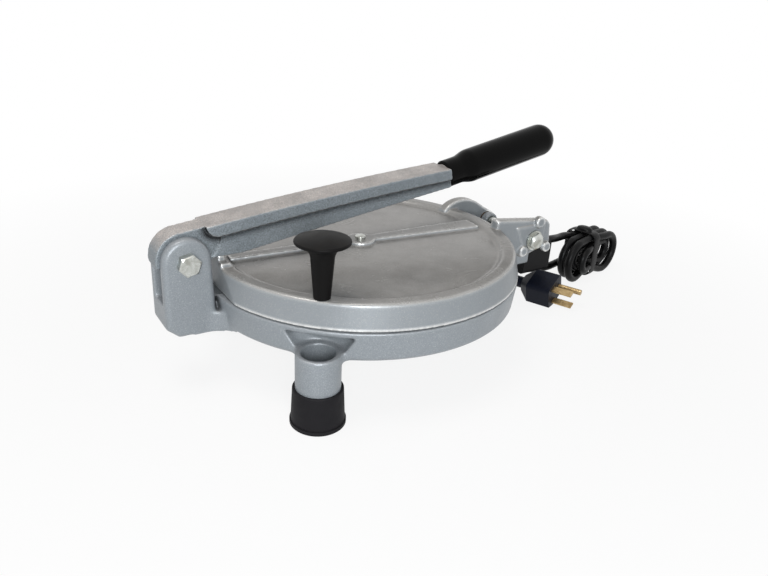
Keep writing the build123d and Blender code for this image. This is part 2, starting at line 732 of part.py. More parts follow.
    # holes for the centre screw, the knob's stud and the hinge bushes
    with BuildSketch(level(LID_CEILING)):
        Circle(SCREW_R)
    extrude(amount=LID_H, mode=Mode.SUBTRACT)
    with BuildSketch(level(LID_TOP)):
        with Locations(KNOB_SPOT):
            Circle(STUD_R)
    extrude(amount=-STUD_DOWN, mode=Mode.SUBTRACT)
    with BuildSketch(side(0)):
        with Locations((HINGE_REACH, HINGE_Z)):
            Circle(HINGE_BUSH_R)
    extrude(amount=2 * EAR_OUT, both=True, mode=Mode.SUBTRACT)
lid_casting.part.label = "lid_casting"
export_step(lid_casting.part, "parts/lid_casting.step")

with BuildPart() as lid_screw:
    with BuildSketch(level(UPPER_SEAT_Z)):
        Circle(SCREW_R)
    extrude(amount=BOSS_TOP - UPPER_SEAT_Z)
    with BuildSketch(level(BOSS_TOP)):
        Circle(SCREW_HEAD_R)
    extrude(amount=SCREW_HEAD_H)
    fillet(lid_screw.edges().group_by(Axis.Z)[-1], SCREW_HEAD_ROUND)
lid_screw.part.label = "lid_screw"
export_step(lid_screw.part, "parts/lid_screw.step")

# Lifting knob: tapered stem and a flared head with a thin edge
KNOB_RIM_Z = LID_TOP + KNOB_H - KNOB_DOME
with BuildPart() as lift_knob:
    with BuildSketch(KNOB_SIDE):
        with BuildLine():
            stem = Polyline(
                (STUD_R, LID_TOP),
                (KNOB_STEM_LOW_R, LID_TOP),
                (KNOB_STEM_TOP_R, LID_TOP + KNOB_STEM_H),
            )
            flare = TangentArc(
                stem @ 1, (KNOB_HEAD_R - KNOB_EDGE / 4, KNOB_RIM_Z - KNOB_EDGE), tangent=(0.2, 1)
            )
            edge = ThreePointArc(
                flare @ 1,
                (KNOB_HEAD_R, KNOB_RIM_Z - KNOB_EDGE / 2),
                (KNOB_HEAD_R - KNOB_EDGE / 3, KNOB_RIM_Z),
            )
            dome = TangentArc((0, LID_TOP + KNOB_H), edge @ 1, tangent=(1, 0))
            Polyline(
                dome @ 0, (0, LID_TOP + STUD_UP), (STUD_R, LID_TOP + STUD_UP), (STUD_R, LID_TOP)
            )
        make_face()
    revolve(axis=KNOB_AXIS)
lift_knob.part.label = "lift_knob"
export_step(lift_knob.part, "parts/lift_knob.step")

with BuildPart() as knob_stud:
    with BuildSketch(level(LID_TOP - STUD_DOWN)):
        with Locations(KNOB_SPOT):
            Circle(STUD_R)
    extrude(amount=STUD_DOWN + STUD_UP)
knob_stud.part.label = "knob_stud"
export_step(knob_stud.part, "parts/knob_stud.step")

# Lever: rounded head, web and top flange, cut square to the grip, with a round tang
TILT = math.radians(GRIP_TILT_DEG)
GRIP_DIR = (math.cos(TILT), 0, math.sin(TILT))
GRIP_ORIGIN = (DISC_X + GRIP_START, 0, GRIP_Z)
GRIP_END = Plane(origin=GRIP_ORIGIN, x_dir=(0, 1, 0), z_dir=GRIP_DIR)
GRIP_CENTRE = (GRIP_REACH - GRIP_R - GRIP_START) / math.cos(TILT)
TANG_L = GRIP_CENTRE - TANG_INSET
LEVER_END = GRIP_START + 2 * FLANGE_H
LEVER_SPAN = PIVOT_REACH + LEVER_END
LEVER_MID = (LEVER_END - PIVOT_REACH) / 2
with BuildPart() as lever_arm:
    # head and web core, as thick as the tower's slot allows
    with BuildSketch(side(0)):
        with BuildLine():
            top = ThreePointArc(
                (-PIVOT_REACH, PIVOT_Z + HEAD_R),
                (LEVER_MID, LEVER_TOP_MID),
                (LEVER_END, LEVER_TOP_END),
            )
            end = Line(top @ 1, (LEVER_END, LEVER_LOW_END))
            low = ThreePointArc(
                end @ 1, (LEVER_MID, LEVER_LOW_MID), (-FACET_REACH + WEB_SEAT_L, WEB_SEAT_Z)
            )
            seat = Line(low @ 1, (-PIVOT_REACH, WEB_SEAT_Z))
            Line(seat @ 1, top @ 0)
        make_face()
        with Locations((-PIVOT_REACH, PIVOT_Z)):
            Circle(HEAD_R)
        with Locations((-PIVOT_REACH, PIVOT_Z - HEAD_CHIN - HEAD_R)):
            Rectangle(2 * HEAD_R + 2 * HEAD_FIT, 2 * HEAD_R, mode=Mode.SUBTRACT)
        with Locations((-PIVOT_REACH, PIVOT_Z)):
            Circle(HEAD_BOSS_R)
    extrude(amount=HEAD_W / 2, both=True)
    # thicker web beyond a curved step
    with BuildSketch(side(0)):
        with BuildLine():
            top = ThreePointArc(
                (-PIVOT_REACH, PIVOT_Z + HEAD_R),
                (LEVER_MID, LEVER_TOP_MID),
                (LEVER_END, LEVER_TOP_END),
            )
            end = Line(top @ 1, (LEVER_END, LEVER_LOW_END))
            low = ThreePointArc(
                end @ 1, (LEVER_MID, LEVER_LOW_MID), (-FACET_REACH + WEB_SEAT_L, WEB_SEAT_Z)
            )
            seat = Line(low @ 1, (-PIVOT_REACH, WEB_SEAT_Z))
            Line(seat @ 1, top @ 0)
        make_face()
        with Locations((-PIVOT_REACH + WEB_STEP_X, PIVOT_Z + WEB_STEP_Z)):
            Circle(WEB_STEP_R, mode=Mode.SUBTRACT)
        with Locations((-PIVOT_REACH, PIVOT_Z)):
            Circle(CHEEK_R + WEB_CLEAR, mode=Mode.SUBTRACT)
    extrude(amount=WEB_W / 2, both=True)
    # top flange, which starts with a round corner clear of the cheeks
    with BuildSketch(side(0)):
        with BuildLine():
            upper = ThreePointArc(
                (-PIVOT_REACH, PIVOT_Z + HEAD_R),
                (LEVER_MID, LEVER_TOP_MID),
                (LEVER_END, LEVER_TOP_END),
            )
            end = Line(upper @ 1, (LEVER_END, LEVER_TOP_END - FLANGE_H))
            lower = ThreePointArc(
                end @ 1,
                (LEVER_MID, LEVER_TOP_MID - FLANGE_H),
                (-PIVOT_REACH, PIVOT_Z + HEAD_R - FLANGE_H),
            )
            Line(lower @ 1, upper @ 0)
        make_face()
        with Locations((-PIVOT_REACH + FLANGE_SET + LEVER_SPAN, PIVOT_Z + FLANGE_SILL + LEVER_SPAN)):
            RectangleRounded(2 * LEVER_SPAN, 2 * LEVER_SPAN, FLANGE_ROUND, mode=Mode.INTERSECT)
    extrude(amount=FLANGE_W / 2, both=True)
    fillet(lever_arm.faces().sort_by(Axis.Z)[-1].edges().sort_by(SortBy.LENGTH)[-2:], LEVER_ROUND)
    split(bisect_by=GRIP_END, keep=Keep.BOTTOM)
    with BuildSketch(GRIP_END):
        Circle(TANG_R)
    extrude(amount=TANG_L)
    with BuildSketch(side(0)):
        with Locations((-PIVOT_REACH, PIVOT_Z)):
            Circle(LEVER_BUSH_R)
    extrude(amount=TOWER_W, both=True, mode=Mode.SUBTRACT)
lever_arm.part.label = "lever_arm"
export_step(lever_arm.part, "parts/lever_arm.step")

with BuildPart() as lever_bush:
    with BuildSketch(side(0)):
        with Locations((-PIVOT_REACH, PIVOT_Z)):
            Circle(LEVER_BUSH_R)
            Circle(PIVOT_R + RUN_FIT, mode=Mode.SUBTRACT)
    extrude(amount=HEAD_W / 2, both=True)
lever_bush.part.label = "lever_bush"
export_step(lever_bush.part, "parts/lever_bush.step")

# Grip: sleeve with a narrow neck, a flare and a round end
GRIP_PLANE = Plane(origin=GRIP_ORIGIN, x_dir=GRIP_DIR, z_dir=(0, -1, 0))
with BuildPart() as lever_grip:
    with BuildSketch(GRIP_PLANE):
        with BuildLine():
            neck = Polyline((0, TANG_R), (0, NECK_R - NECK_BREAK), (NECK_BREAK, NECK_R), (NECK_L, NECK_R))
            flare = Spline(
                neck @ 1, (NECK_L + FLARE_L, GRIP_R), tangents=((1, 0), (1, 0))
            )
            barrel = Line(flare @ 1, (GRIP_CENTRE, GRIP_R))
            tip = ThreePointArc(
                barrel @ 1,
                (GRIP_CENTRE + GRIP_R * math.sin(math.pi / 4), GRIP_R * math.cos(math.pi / 4)),
                (GRIP_CENTRE + GRIP_R, 0),
            )
            Polyline(tip @ 1, (TANG_L, 0), (TANG_L, TANG_R), (0, TANG_R))
        make_face()
    revolve(axis=Axis(GRIP_ORIGIN, GRIP_DIR))
lever_grip.part.label = "lever_grip"
export_step(lever_grip.part, "parts/lever_grip.step")

# Pivot bolt with its washer and nut
HALF_TOWER = TOWER_W / 2
with BuildPart() as pivot_bolt:
    with BuildSketch(side(-HALF_TOWER)):
        with Locations((-PIVOT_REACH, PIVOT_Z)):
            RegularPolygon(PIVOT_HEAD_AF / 2, 6, major_radius=False, rotation=12)
    extrude(amount=PIVOT_HEAD_H)
    chamfer(pivot_bolt.faces().sort_by(Axis.Y)[0].edges(), PIVOT_HEAD_BREAK)
    with BuildSketch(side(-HALF_TOWER)):
        with Locations((-PIVOT_REACH, PIVOT_Z)):
            Circle(PIVOT_R)
    extrude(amount=-(TOWER_W + WASHER_T + PIVOT_NUT_H + BOLT_PROUD))
pivot_bolt.part.label = "pivot_bolt"
export_step(pivot_bolt.part, "parts/pivot_bolt.step")

with BuildPart() as pivot_washer:
    with BuildSketch(side(HALF_TOWER)):
        with Locations((-PIVOT_REACH, PIVOT_Z)):
            Circle(PIVOT_WASHER_R)
            Circle(PIVOT_R, mode=Mode.SUBTRACT)
    extrude(amount=-WASHER_T)
pivot_washer.part.label = "pivot_washer"
export_step(pivot_washer.part, "parts/pivot_washer.step")

with BuildPart() as pivot_nut:
    with BuildSketch(side(HALF_TOWER + WASHER_T)):
        with Locations((-PIVOT_REACH, PIVOT_Z)):
            RegularPolygon(PIVOT_HEAD_AF / 2, 6, major_radius=False)
            Circle(PIVOT_R, mode=Mode.SUBTRACT)
    extrude(amount=-PIVOT_NUT_H)
pivot_nut.part.label = "pivot_nut"
export_step(pivot_nut.part, "parts/pivot_nut.step")

# Lid hinge: bolt fast in the lug, with bushes of the ears turning on it
with BuildPart() as hinge_bolt:
    with BuildSketch(side(-HINGE_FACE - HINGE_WASHER_T)):
        with Locations((HINGE_REACH, HINGE_Z)):
            RegularPolygon(HINGE_HEAD_AF / 2, 6, major_radius=False, rotation=20)
    extrude(amount=HINGE_HEAD_H)
    chamfer(hinge_bolt.faces().sort_by(Axis.Y)[0].edges(), HINGE_HEAD_BREAK)
    with BuildSketch(side(-HINGE_FACE - HINGE_WASHER_T)):
        with Locations((HINGE_REACH, HINGE_Z)):
            Circle(HINGE_R)
    extrude(amount=-(2 * HINGE_FACE + 2 * HINGE_WASHER_T + HINGE_NUT_H + BOLT_PROUD))
hinge_bolt.part.label = "hinge_bolt"
export_step(hinge_bolt.part, "parts/hinge_bolt.step")

with BuildPart() as hinge_washers:
    with BuildSketch(side(-HINGE_FACE), side(HINGE_FACE + HINGE_WASHER_T)):
        with Locations((HINGE_REACH, HINGE_Z)):
            Circle(HINGE_WASHER_R)
            Circle(HINGE_R, mode=Mode.SUBTRACT)
    extrude(amount=HINGE_WASHER_T)
hinge_washers.part.label = "hinge_washers"
export_step(hinge_washers.part, "parts/hinge_washers.step")

with BuildPart() as hinge_nut:
    with BuildSketch(side(HINGE_FACE + HINGE_WASHER_T)):
        with Locations((HINGE_REACH, HINGE_Z)):
            RegularPolygon(HINGE_HEAD_AF / 2, 6, major_radius=False, rotation=10)
            Circle(HINGE_R, mode=Mode.SUBTRACT)
    extrude(amount=-HINGE_NUT_H)
hinge_nut.part.label = "hinge_nut"
export_step(hinge_nut.part, "parts/hinge_nut.step")

with BuildPart() as hinge_bushes:
    with BuildSketch(side(-EAR_IN), side(EAR_OUT)):
        with Locations((HINGE_REACH, HINGE_Z)):
            Circle(HINGE_BUSH_R)
            Circle(HINGE_R + RUN_FIT, mode=Mode.SUBTRACT)
    extrude(amount=EAR_T)
hinge_bushes.part.label = "hinge_bushes"
export_step(hinge_bushes.part, "parts/hinge_bushes.step")

# Connection box on the lug's back face, open behind, and its cover
BOX_MID = (BOX_LOW + BOX_HIGH) / 2
BOX_H = BOX_HIGH - BOX_LOW


def across(x, y, z):
    """Plane square to X at a point, with Y to the left and Z up when seen from the front."""
    return Plane(origin=(DISC_X + x, y, z), x_dir=(0, 1, 0), z_dir=(1, 0, 0))


def pair(pitch, z):
    """Two screw places on the box, a pitch apart at one height."""
    return ((-pitch / 2, z - BOX_MID), (pitch / 2, z - BOX_MID))


COVER_SCREWS = pair(COVER_SCREW_PITCH, COVER_SCREW_Z)
BOX_SCREWS = pair(BOX_SCREW_PITCH, BOX_SCREW_Z)
with BuildPart() as terminal_box:
    with BuildSketch(across(BOX_FRONT, 0, BOX_MID)):
        RectangleRounded(BOX_W, BOX_H, BOX_ROUND)
    extrude(amount=BOX_L)
    with BuildSketch(across(BOX_FRONT + BOX_WALL, 0, BOX_MID)):
        Rectangle(BOX_W - 2 * BOX_WALL, BOX_H - 2 * BOX_WALL)
    extrude(amount=BOX_L, mode=Mode.SUBTRACT)
    with BuildSketch(across(COVER_FRONT, 0, BOX_MID)):
        with Locations(*COVER_SCREWS):
            Circle(2 * SMALL_SCREW_R)
    extrude(amount=BOX_WALL - BOX_L)
    with BuildSketch(across(COVER_FRONT, 0, BOX_MID)):
        with Locations(*COVER_SCREWS):
            Circle(SMALL_SCREW_R)
    extrude(amount=COVER_T - SMALL_SCREW_L, mode=Mode.SUBTRACT)
    with BuildSketch(across(BOX_FRONT, 0, CHANNEL_Z)):
        Circle(CHANNEL_R)
    extrude(amount=BOX_WALL, mode=Mode.SUBTRACT)
    with BuildSketch(across(BOX_FRONT, 0, BOX_MID)):
        with Locations(*BOX_SCREWS):
            Circle(SMALL_SCREW_R)
    extrude(amount=BOX_WALL, mode=Mode.SUBTRACT)
terminal_box.part.label = "terminal_box"
export_step(terminal_box.part, "parts/terminal_box.step")

with BuildPart() as terminal_cover:
    with BuildSketch(across(COVER_FRONT, 0, BOX_MID)):
        RectangleRounded(BOX_W, BOX_H, BOX_ROUND)
    extrude(amount=COVER_T)
    with BuildSketch(across(COVER_FRONT, 0, BOX_MID)):
        with Locations(*COVER_SCREWS):
            Circle(SMALL_SCREW_R)
    extrude(amount=COVER_T, mode=Mode.SUBTRACT)
    with BuildSketch(across(COVER_FRONT, GLAND_Y, GLAND_Z)):
        Circle(GLAND_NECK_R)
    extrude(amount=COVER_T, mode=Mode.SUBTRACT)
terminal_cover.part.label = "terminal_cover"
export_step(terminal_cover.part, "parts/terminal_cover.step")

with BuildPart() as cover_screws:
    with BuildSketch(across(COVER_BACK, 0, BOX_MID)):
        with Locations(*COVER_SCREWS):
            Circle(SMALL_SCREW_R)
    extrude(amount=-SMALL_SCREW_L)
    with BuildSketch(across(COVER_BACK, 0, BOX_MID)):
        with Locations(*COVER_SCREWS):
            Circle(SMALL_HEAD_R)
    extrude(amount=SMALL_HEAD_H)
cover_screws.part.label = "cover_screws"
export_step(cover_screws.part, "parts/cover_screws.step")

BLOCK_FRONT = BOX_FRONT + BOX_WALL
with BuildPart() as box_screws:
    with BuildSketch(across(BLOCK_FRONT, 0, BOX_MID)):
        with Locations(*BOX_SCREWS):
            Circle(SMALL_SCREW_R)
    extrude(amount=-SMALL_SCREW_L)
    with BuildSketch(across(BLOCK_FRONT, 0, BOX_MID)):
        with Locations(*BOX_SCREWS):
            Circle(SMALL_HEAD_R)
    extrude(amount=SMALL_HEAD_H)
box_screws.part.label = "box_screws"
export_step(box_screws.part, "parts/box_screws.step")

BLOCK_LOW = BOX_LOW + BOX_WALL
with BuildPart() as terminal_block:
    with BuildSketch(across(BLOCK_FRONT, 0, BLOCK_LOW + BLOCK_H / 2)):
        Rectangle(BLOCK_W, BLOCK_H)
    extrude(amount=BLOCK_L)
    fillet(terminal_block.edges().filter_by(Axis.X), BLOCK_ROUND)
terminal_block.part.label = "terminal_block"
export_step(terminal_block.part, "parts/terminal_block.step")

with BuildPart() as terminal_screws:
    with BuildSketch(level(BLOCK_LOW + BLOCK_H)):
        with Locations((BLOCK_FRONT + BLOCK_L / 2, 0)):
            with GridLocations(CLAMP_PITCH, CLAMP_PITCH, 1, CLAMP_COUNT):
                Circle(CLAMP_R)
    extrude(amount=CLAMP_H)
terminal_screws.part.label = "terminal_screws"
export_step(terminal_screws.part, "parts/terminal_screws.step")

with BuildPart() as cord_gland:
    with BuildSketch(across(COVER_BACK, GLAND_Y, GLAND_Z)):
        Circle(GLAND_R)
    extrude(amount=GLAND_L, taper=GLAND_TAPER_DEG)
    with BuildSketch(across(COVER_BACK, GLAND_Y, GLAND_Z)):
        Circle(GLAND_NECK_R)
    extrude(amount=-COVER_T - GLAND_INSERT)
    with BuildSketch(across(COVER_FRONT - GLAND_INSERT, GLAND_Y, GLAND_Z)):
        Circle(CORD_R)
    extrude(amount=COVER_T + GLAND_INSERT + GLAND_L, mode=Mode.SUBTRACT)
cord_gland.part.label = "cord_gland"
export_step(cord_gland.part, "parts/cord_gland.step")


def bend_radii(points):
    """Largest tangent arc that the two runs at each inner point leave room for."""
    radii = []
    for a, b, c in zip(points, points[1:], points[2:]):
        first = Vector(b) - Vector(a)
        second = Vector(c) - Vector(b)
        turn = math.radians(first.get_angle(second))
        radii.append(0.45 * min(first.length, second.length) / math.tan(turn / 2))
    return radii


# Hank: loops of two sizes side by side, wound out at one side and back at the other
HANK_LIFT = HANK_OUT_R + CORD_R + TIE_T
HANK_HALF_T = HANK_LAYERS * HANK_STEP / 2
TURN = math.radians(HANK_TURN_DEG)
ALONG = Vector(math.cos(TURN), math.sin(TURN), 0)
DEEP = Vector(math.sin(TURN), -math.cos(TURN), 0)
HANK_ORIGIN = Vector(DISC_X + HANK_X, HANK_Y, HANK_LIFT) - DEEP * HANK_HALF_T


def hank(u, v, w):
    """Point of the hank from its run, height and depth."""
    return HANK_ORIGIN + ALONG * u + Vector(0, 0, v) + DEEP * w


def s_run(a, b, sign):
    """Two equal arcs from a to b, both ends parallel to the run's direction."""
    shift = (0.0, b[1] - a[1], b[2] - a[2])
    offset = math.hypot(shift[1], shift[2])
    run = abs(b[0] - a[0])
    half = math.atan(offset / run)
    radius = run / 2 / math.sin(2 * half)
    unit = (shift[1] / offset, shift[2] / offset)
    mid = ((a[0] + b[0]) / 2, (a[1] + b[1]) / 2, (a[2] + b[2]) / 2)
    du = sign * radius * math.sin(half)
    dr = radius * (1 - math.cos(half))
    one = (a[0] + du, a[1] + unit[0] * dr, a[2] + unit[1] * dr)
    two = (b[0] - du, b[1] - unit[0] * dr, b[2] - unit[1] * dr)
    return [(a, one, mid), (mid, two, b)]


def half_turn(u, radius, v, w, sign):
    """Half circle at one end of the hank, from v to -v."""
    return [((u, v, w), (u + sign * radius, 0.0, w), (u, -v, w))]


def hank_arcs():
    """Arcs of the whole winding: outer loops towards the far layer, inner loops back."""
    c = HANK_HALF_RUN
    arcs = []
    w = HANK_STEP / 2
    top = HANK_OUT_R
    for _ in range(HANK_LAYERS - 1):
        arcs += s_run((-c, top, w), (c, top, w + HANK_STEP / 2), 1)
        arcs += half_turn(c, HANK_OUT_R, top, w + HANK_STEP / 2, 1)
        arcs += s_run((c, -top, w + HANK_STEP / 2), (-c, -top, w + HANK_STEP), -1)
        arcs += half_turn(-c, HANK_OUT_R, -top, w + HANK_STEP, -1)
        w += HANK_STEP
    arcs += s_run((-c, top, w), (c, top, w + HANK_STEP / 2), 1)
    w += HANK_STEP / 2
    arcs += half_turn(c, HANK_OUT_R, top, w, 1)
    arcs += s_run((c, -HANK_OUT_R, w), (-c, -HANK_IN_R, w), -1)
    low = HANK_IN_R
    for _ in range(HANK_LAYERS):
        arcs += half_turn(-c, HANK_IN_R, -low, w, -1)
        arcs += s_run((-c, low, w), (c, low, w - HANK_STEP / 2), 1)
        arcs += half_turn(c, HANK_IN_R, low, w - HANK_STEP / 2, 1)
        arcs += s_run((c, -low, w - HANK_STEP / 2), (-c, -low, w - HANK_STEP), -1)
        w -= HANK_STEP
    return arcs


ARCS = hank_arcs()
HANK_IN = hank(-HANK_HALF_RUN - 2 * CORD_R, HANK_OUT_R, HANK_STEP / 2)
HANK_OUT = hank(-HANK_HALF_RUN - 2 * CORD_R, -HANK_IN_R, 0)
with BuildPart() as cord_hank:
    with BuildLine() as hank_path:
        Line(HANK_IN, hank(*ARCS[0][0]))
        for start, middle, finish in ARCS:
            ThreePointArc(hank(*start), hank(*middle), hank(*finish))
        Line(hank(*ARCS[-1][2]), HANK_OUT)
    hank_wire = hank_path.wires()[0]
    with BuildSketch(Plane(origin=HANK_IN, z_dir=ALONG)):
        Circle(CORD_R)
    sweep(path=hank_wire)
cord_hank.part.label = "cord_hank"
export_step(cord_hank.part, "parts/cord_hank.step")

samples = 1400
places = [hank_wire.position_at(k / samples) for k in range(samples + 1)]
stride = hank_wire.length / samples
apart = math.ceil(6 * CORD_R / stride)
least = min(
    (places[i] - places[j]).length
    for i in range(0, samples + 1, 2)
    for j in range(i + apart, samples + 1)
)
print(f"hank length {hank_wire.length:.0f}, least gap between its turns {least - 2 * CORD_R:.2f}")

with BuildPart() as cord_tie:
    with BuildSketch(Plane(origin=hank(TIE_U - TIE_L / 2, 0, HANK_HALF_T), x_dir=-DEEP, z_dir=ALONG)):
        with Locations((0, (TIE_TOP - TIE_T) / 2)):
            RectangleRounded(
                2 * (HANK_HALF_T + CORD_R + TIE_T), 2 * (HANK_OUT_R + CORD_R) + TIE_T + TIE_TOP, TIE_ROUND
            )
        RectangleRounded(
            2 * (HANK_HALF_T + CORD_R), 2 * (HANK_OUT_R + CORD_R), TIE_INNER_ROUND, mode=Mode.SUBTRACT
        )
    extrude(amount=TIE_L)
cord_tie.part.label = "cord_tie"
export_step(cord_tie.part, "parts/cord_tie.step")

# Plug, lying on the table with its blades one above the other
AIM = math.radians(PLUG_TURN_DEG)
PLUG_DIR = Vector(math.cos(AIM), math.sin(AIM), 0)
PLUG_ACROSS = Vector(-math.sin(AIM), math.cos(AIM), 0)
PLUG_FACE = Vector(DISC_X + PLUG_X, PLUG_Y, PLUG_Z)


def plug_plane(back):
    """Plane square to the plug's axis, a distance behind its face."""
    return Plane(origin=PLUG_FACE - PLUG_DIR * back, x_dir=PLUG_ACROSS, z_dir=PLUG_DIR)


with BuildPart() as plug_body:
    with BuildSketch(plug_plane(PLUG_FACE_L)):
        RectangleRounded(PLUG_W, PLUG_H, PLUG_ROUND, rotation=PLUG_ROLL_DEG)
    extrude(amount=PLUG_FACE_L)
    with BuildSketch(plug_plane(PLUG_FACE_L)):
        RectangleRounded(PLUG_W, PLUG_H, PLUG_ROUND, rotation=PLUG_ROLL_DEG)
    with BuildSketch(plug_plane(PLUG_FACE_L + PLUG_TAPER_L)):
        RectangleRounded(PLUG_TAIL_W, PLUG_TAIL_W, PLUG_ROUND, rotation=PLUG_ROLL_DEG)
    loft()
    with BuildSketch(plug_plane(PLUG_FACE_L + PLUG_TAPER_L + RELIEF_L)):
        Circle(RELIEF_R)
    extrude(amount=RELIEF_L)
    # flat that it lies on
    with BuildSketch(Plane(origin=PLUG_FACE - Vector(0, 0, PLUG_Z))):
        Circle(2 * PLUG_W)
    extrude(amount=-PLUG_H, mode=Mode.SUBTRACT)
plug_body.part.label = "plug_body"
export_step(plug_body.part, "parts/plug_body.step")

with BuildPart() as plug_prongs:
    with BuildSketch(plug_plane(0)):
        with Locations(Location((0, 0), PLUG_ROLL_DEG)):
            with Locations((BLADE_SHIFT, BLADE_PITCH / 2), (BLADE_SHIFT, -BLADE_PITCH / 2)):
                Rectangle(BLADE_W, BLADE_T)
    extrude(amount=BLADE_L)
    with BuildSketch(plug_plane(0)):
        with Locations(Location((0, 0), PLUG_ROLL_DEG)):
            with Locations((EARTH_SHIFT, 0)):
                Circle(EARTH_R)
    extrude(amount=EARTH_L)
plug_prongs.part.label = "plug_prongs"
export_step(plug_prongs.part, "parts/plug_prongs.step")

# Free stretches of the cord, from the gland to the hank and from the hank to the plug
GLAND_TIP = Vector(DISC_X + COVER_BACK + GLAND_L, GLAND_Y, GLAND_Z)
SUPPLY = [
    GLAND_TIP,
    GLAND_TIP + Vector(LEAD_OUT, 0, 0),
    HANK_IN - ALONG * LEAD_IN,
    HANK_IN,
]
with BuildPart() as supply_lead:
    with BuildLine() as supply_path:
        supply_radii = bend_radii(SUPPLY)
        FilletPolyline(*SUPPLY, radius=supply_radii)
    with BuildSketch(Plane(origin=SUPPLY[0], z_dir=SUPPLY[1] - SUPPLY[0])):
        Circle(CORD_R)
    sweep(path=supply_path.wires()[0])
supply_lead.part.label = "supply_lead"
export_step(supply_lead.part, "parts/supply_lead.step")

PLUG_TAIL = PLUG_FACE - PLUG_DIR * (PLUG_FACE_L + PLUG_TAPER_L + RELIEF_L)
TAIL = [
    HANK_OUT,
    HANK_OUT - ALONG * TAIL_OUT,
    Vector(DISC_X + 206.2, 21.6, 10.7),
    Vector(DISC_X + 196.9, 32.3, 7.2),
    Vector(DISC_X + 187.0, 69.4, 4.9),
    Vector(DISC_X + 152.5, 72.0, 8.0),
    Vector(DISC_X + 139.0, 40.5, 11.1),
    PLUG_TAIL - PLUG_DIR * TAIL_IN,
    PLUG_TAIL,
]
with BuildPart() as plug_lead:
    with BuildLine() as tail_path:
        tail_radii = bend_radii(TAIL)
        FilletPolyline(*TAIL, radius=tail_radii)
    with BuildSketch(Plane(origin=TAIL[0], z_dir=TAIL[1] - TAIL[0])):
        Circle(CORD_R)
    sweep(path=tail_path.wires()[0])
plug_lead.part.label = "plug_lead"
export_step(plug_lead.part, "parts/plug_lead.step")

print("supply lead radii", [round(r, 1) for r in supply_radii])
print("plug lead radii", [round(r, 1) for r in tail_radii])
for name, piece, path in (
    ("supply lead", supply_lead, supply_path),
    ("plug lead", plug_lead, tail_path),
    ("hank", cord_hank, hank_path),
):
    run = path.wires()[0].length
    print(f"{name} length {run:.1f}, volume over section {piece.part.volume / (math.pi * CORD_R**2):.1f}")
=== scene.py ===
"""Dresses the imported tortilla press: cast finishes, bolts, grip, boots, and the tied supply cord."""
import json
import logging
import math
from collections.abc import Callable
from dataclasses import dataclass
from enum import Enum

import bpy
from mathutils import Euler, Matrix, Vector

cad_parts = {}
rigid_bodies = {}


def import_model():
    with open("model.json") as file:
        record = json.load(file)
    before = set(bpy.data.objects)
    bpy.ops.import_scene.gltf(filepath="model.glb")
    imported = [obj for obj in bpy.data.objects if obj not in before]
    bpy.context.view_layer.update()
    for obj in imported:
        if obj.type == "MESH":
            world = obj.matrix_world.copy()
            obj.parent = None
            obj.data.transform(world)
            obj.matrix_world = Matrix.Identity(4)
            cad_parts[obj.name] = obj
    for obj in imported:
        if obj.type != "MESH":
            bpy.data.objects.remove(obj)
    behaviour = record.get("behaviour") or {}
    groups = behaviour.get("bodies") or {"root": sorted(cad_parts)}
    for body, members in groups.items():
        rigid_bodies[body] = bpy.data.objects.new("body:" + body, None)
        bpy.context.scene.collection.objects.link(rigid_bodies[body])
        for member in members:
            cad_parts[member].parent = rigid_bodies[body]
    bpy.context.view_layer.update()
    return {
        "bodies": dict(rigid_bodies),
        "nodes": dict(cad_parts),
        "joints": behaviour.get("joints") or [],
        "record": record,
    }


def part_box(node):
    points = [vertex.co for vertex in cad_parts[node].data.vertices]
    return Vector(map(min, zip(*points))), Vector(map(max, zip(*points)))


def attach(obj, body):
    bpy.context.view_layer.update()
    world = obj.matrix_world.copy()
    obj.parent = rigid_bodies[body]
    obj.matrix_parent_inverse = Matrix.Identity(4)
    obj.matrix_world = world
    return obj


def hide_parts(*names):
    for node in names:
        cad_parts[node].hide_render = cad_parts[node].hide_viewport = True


LOG = logging.getLogger("press")
MM = 0.001

# Corners of a CAD node's loose triangles that lie nearer than this are one corner.
WELD = 0.002 * MM

# A face looks along a direction when its normal's share along it is past this.
FACING = 0.9

# A face is level when its normal's share upwards is past this.
LEVEL = 0.99

# The Mix node's sockets for colours: factor, first and second, then the result.
MIX_INPUTS = (0, 6, 7)
MIX_RESULT = 2

Colour = tuple[float, float, float, float]
Feed = bpy.types.NodeSocket | float | tuple


class Body(Enum):
    """The three bodies that pieces ride on."""

    BASE = "base"
    LEVER = "lever"
    LID = "lid"


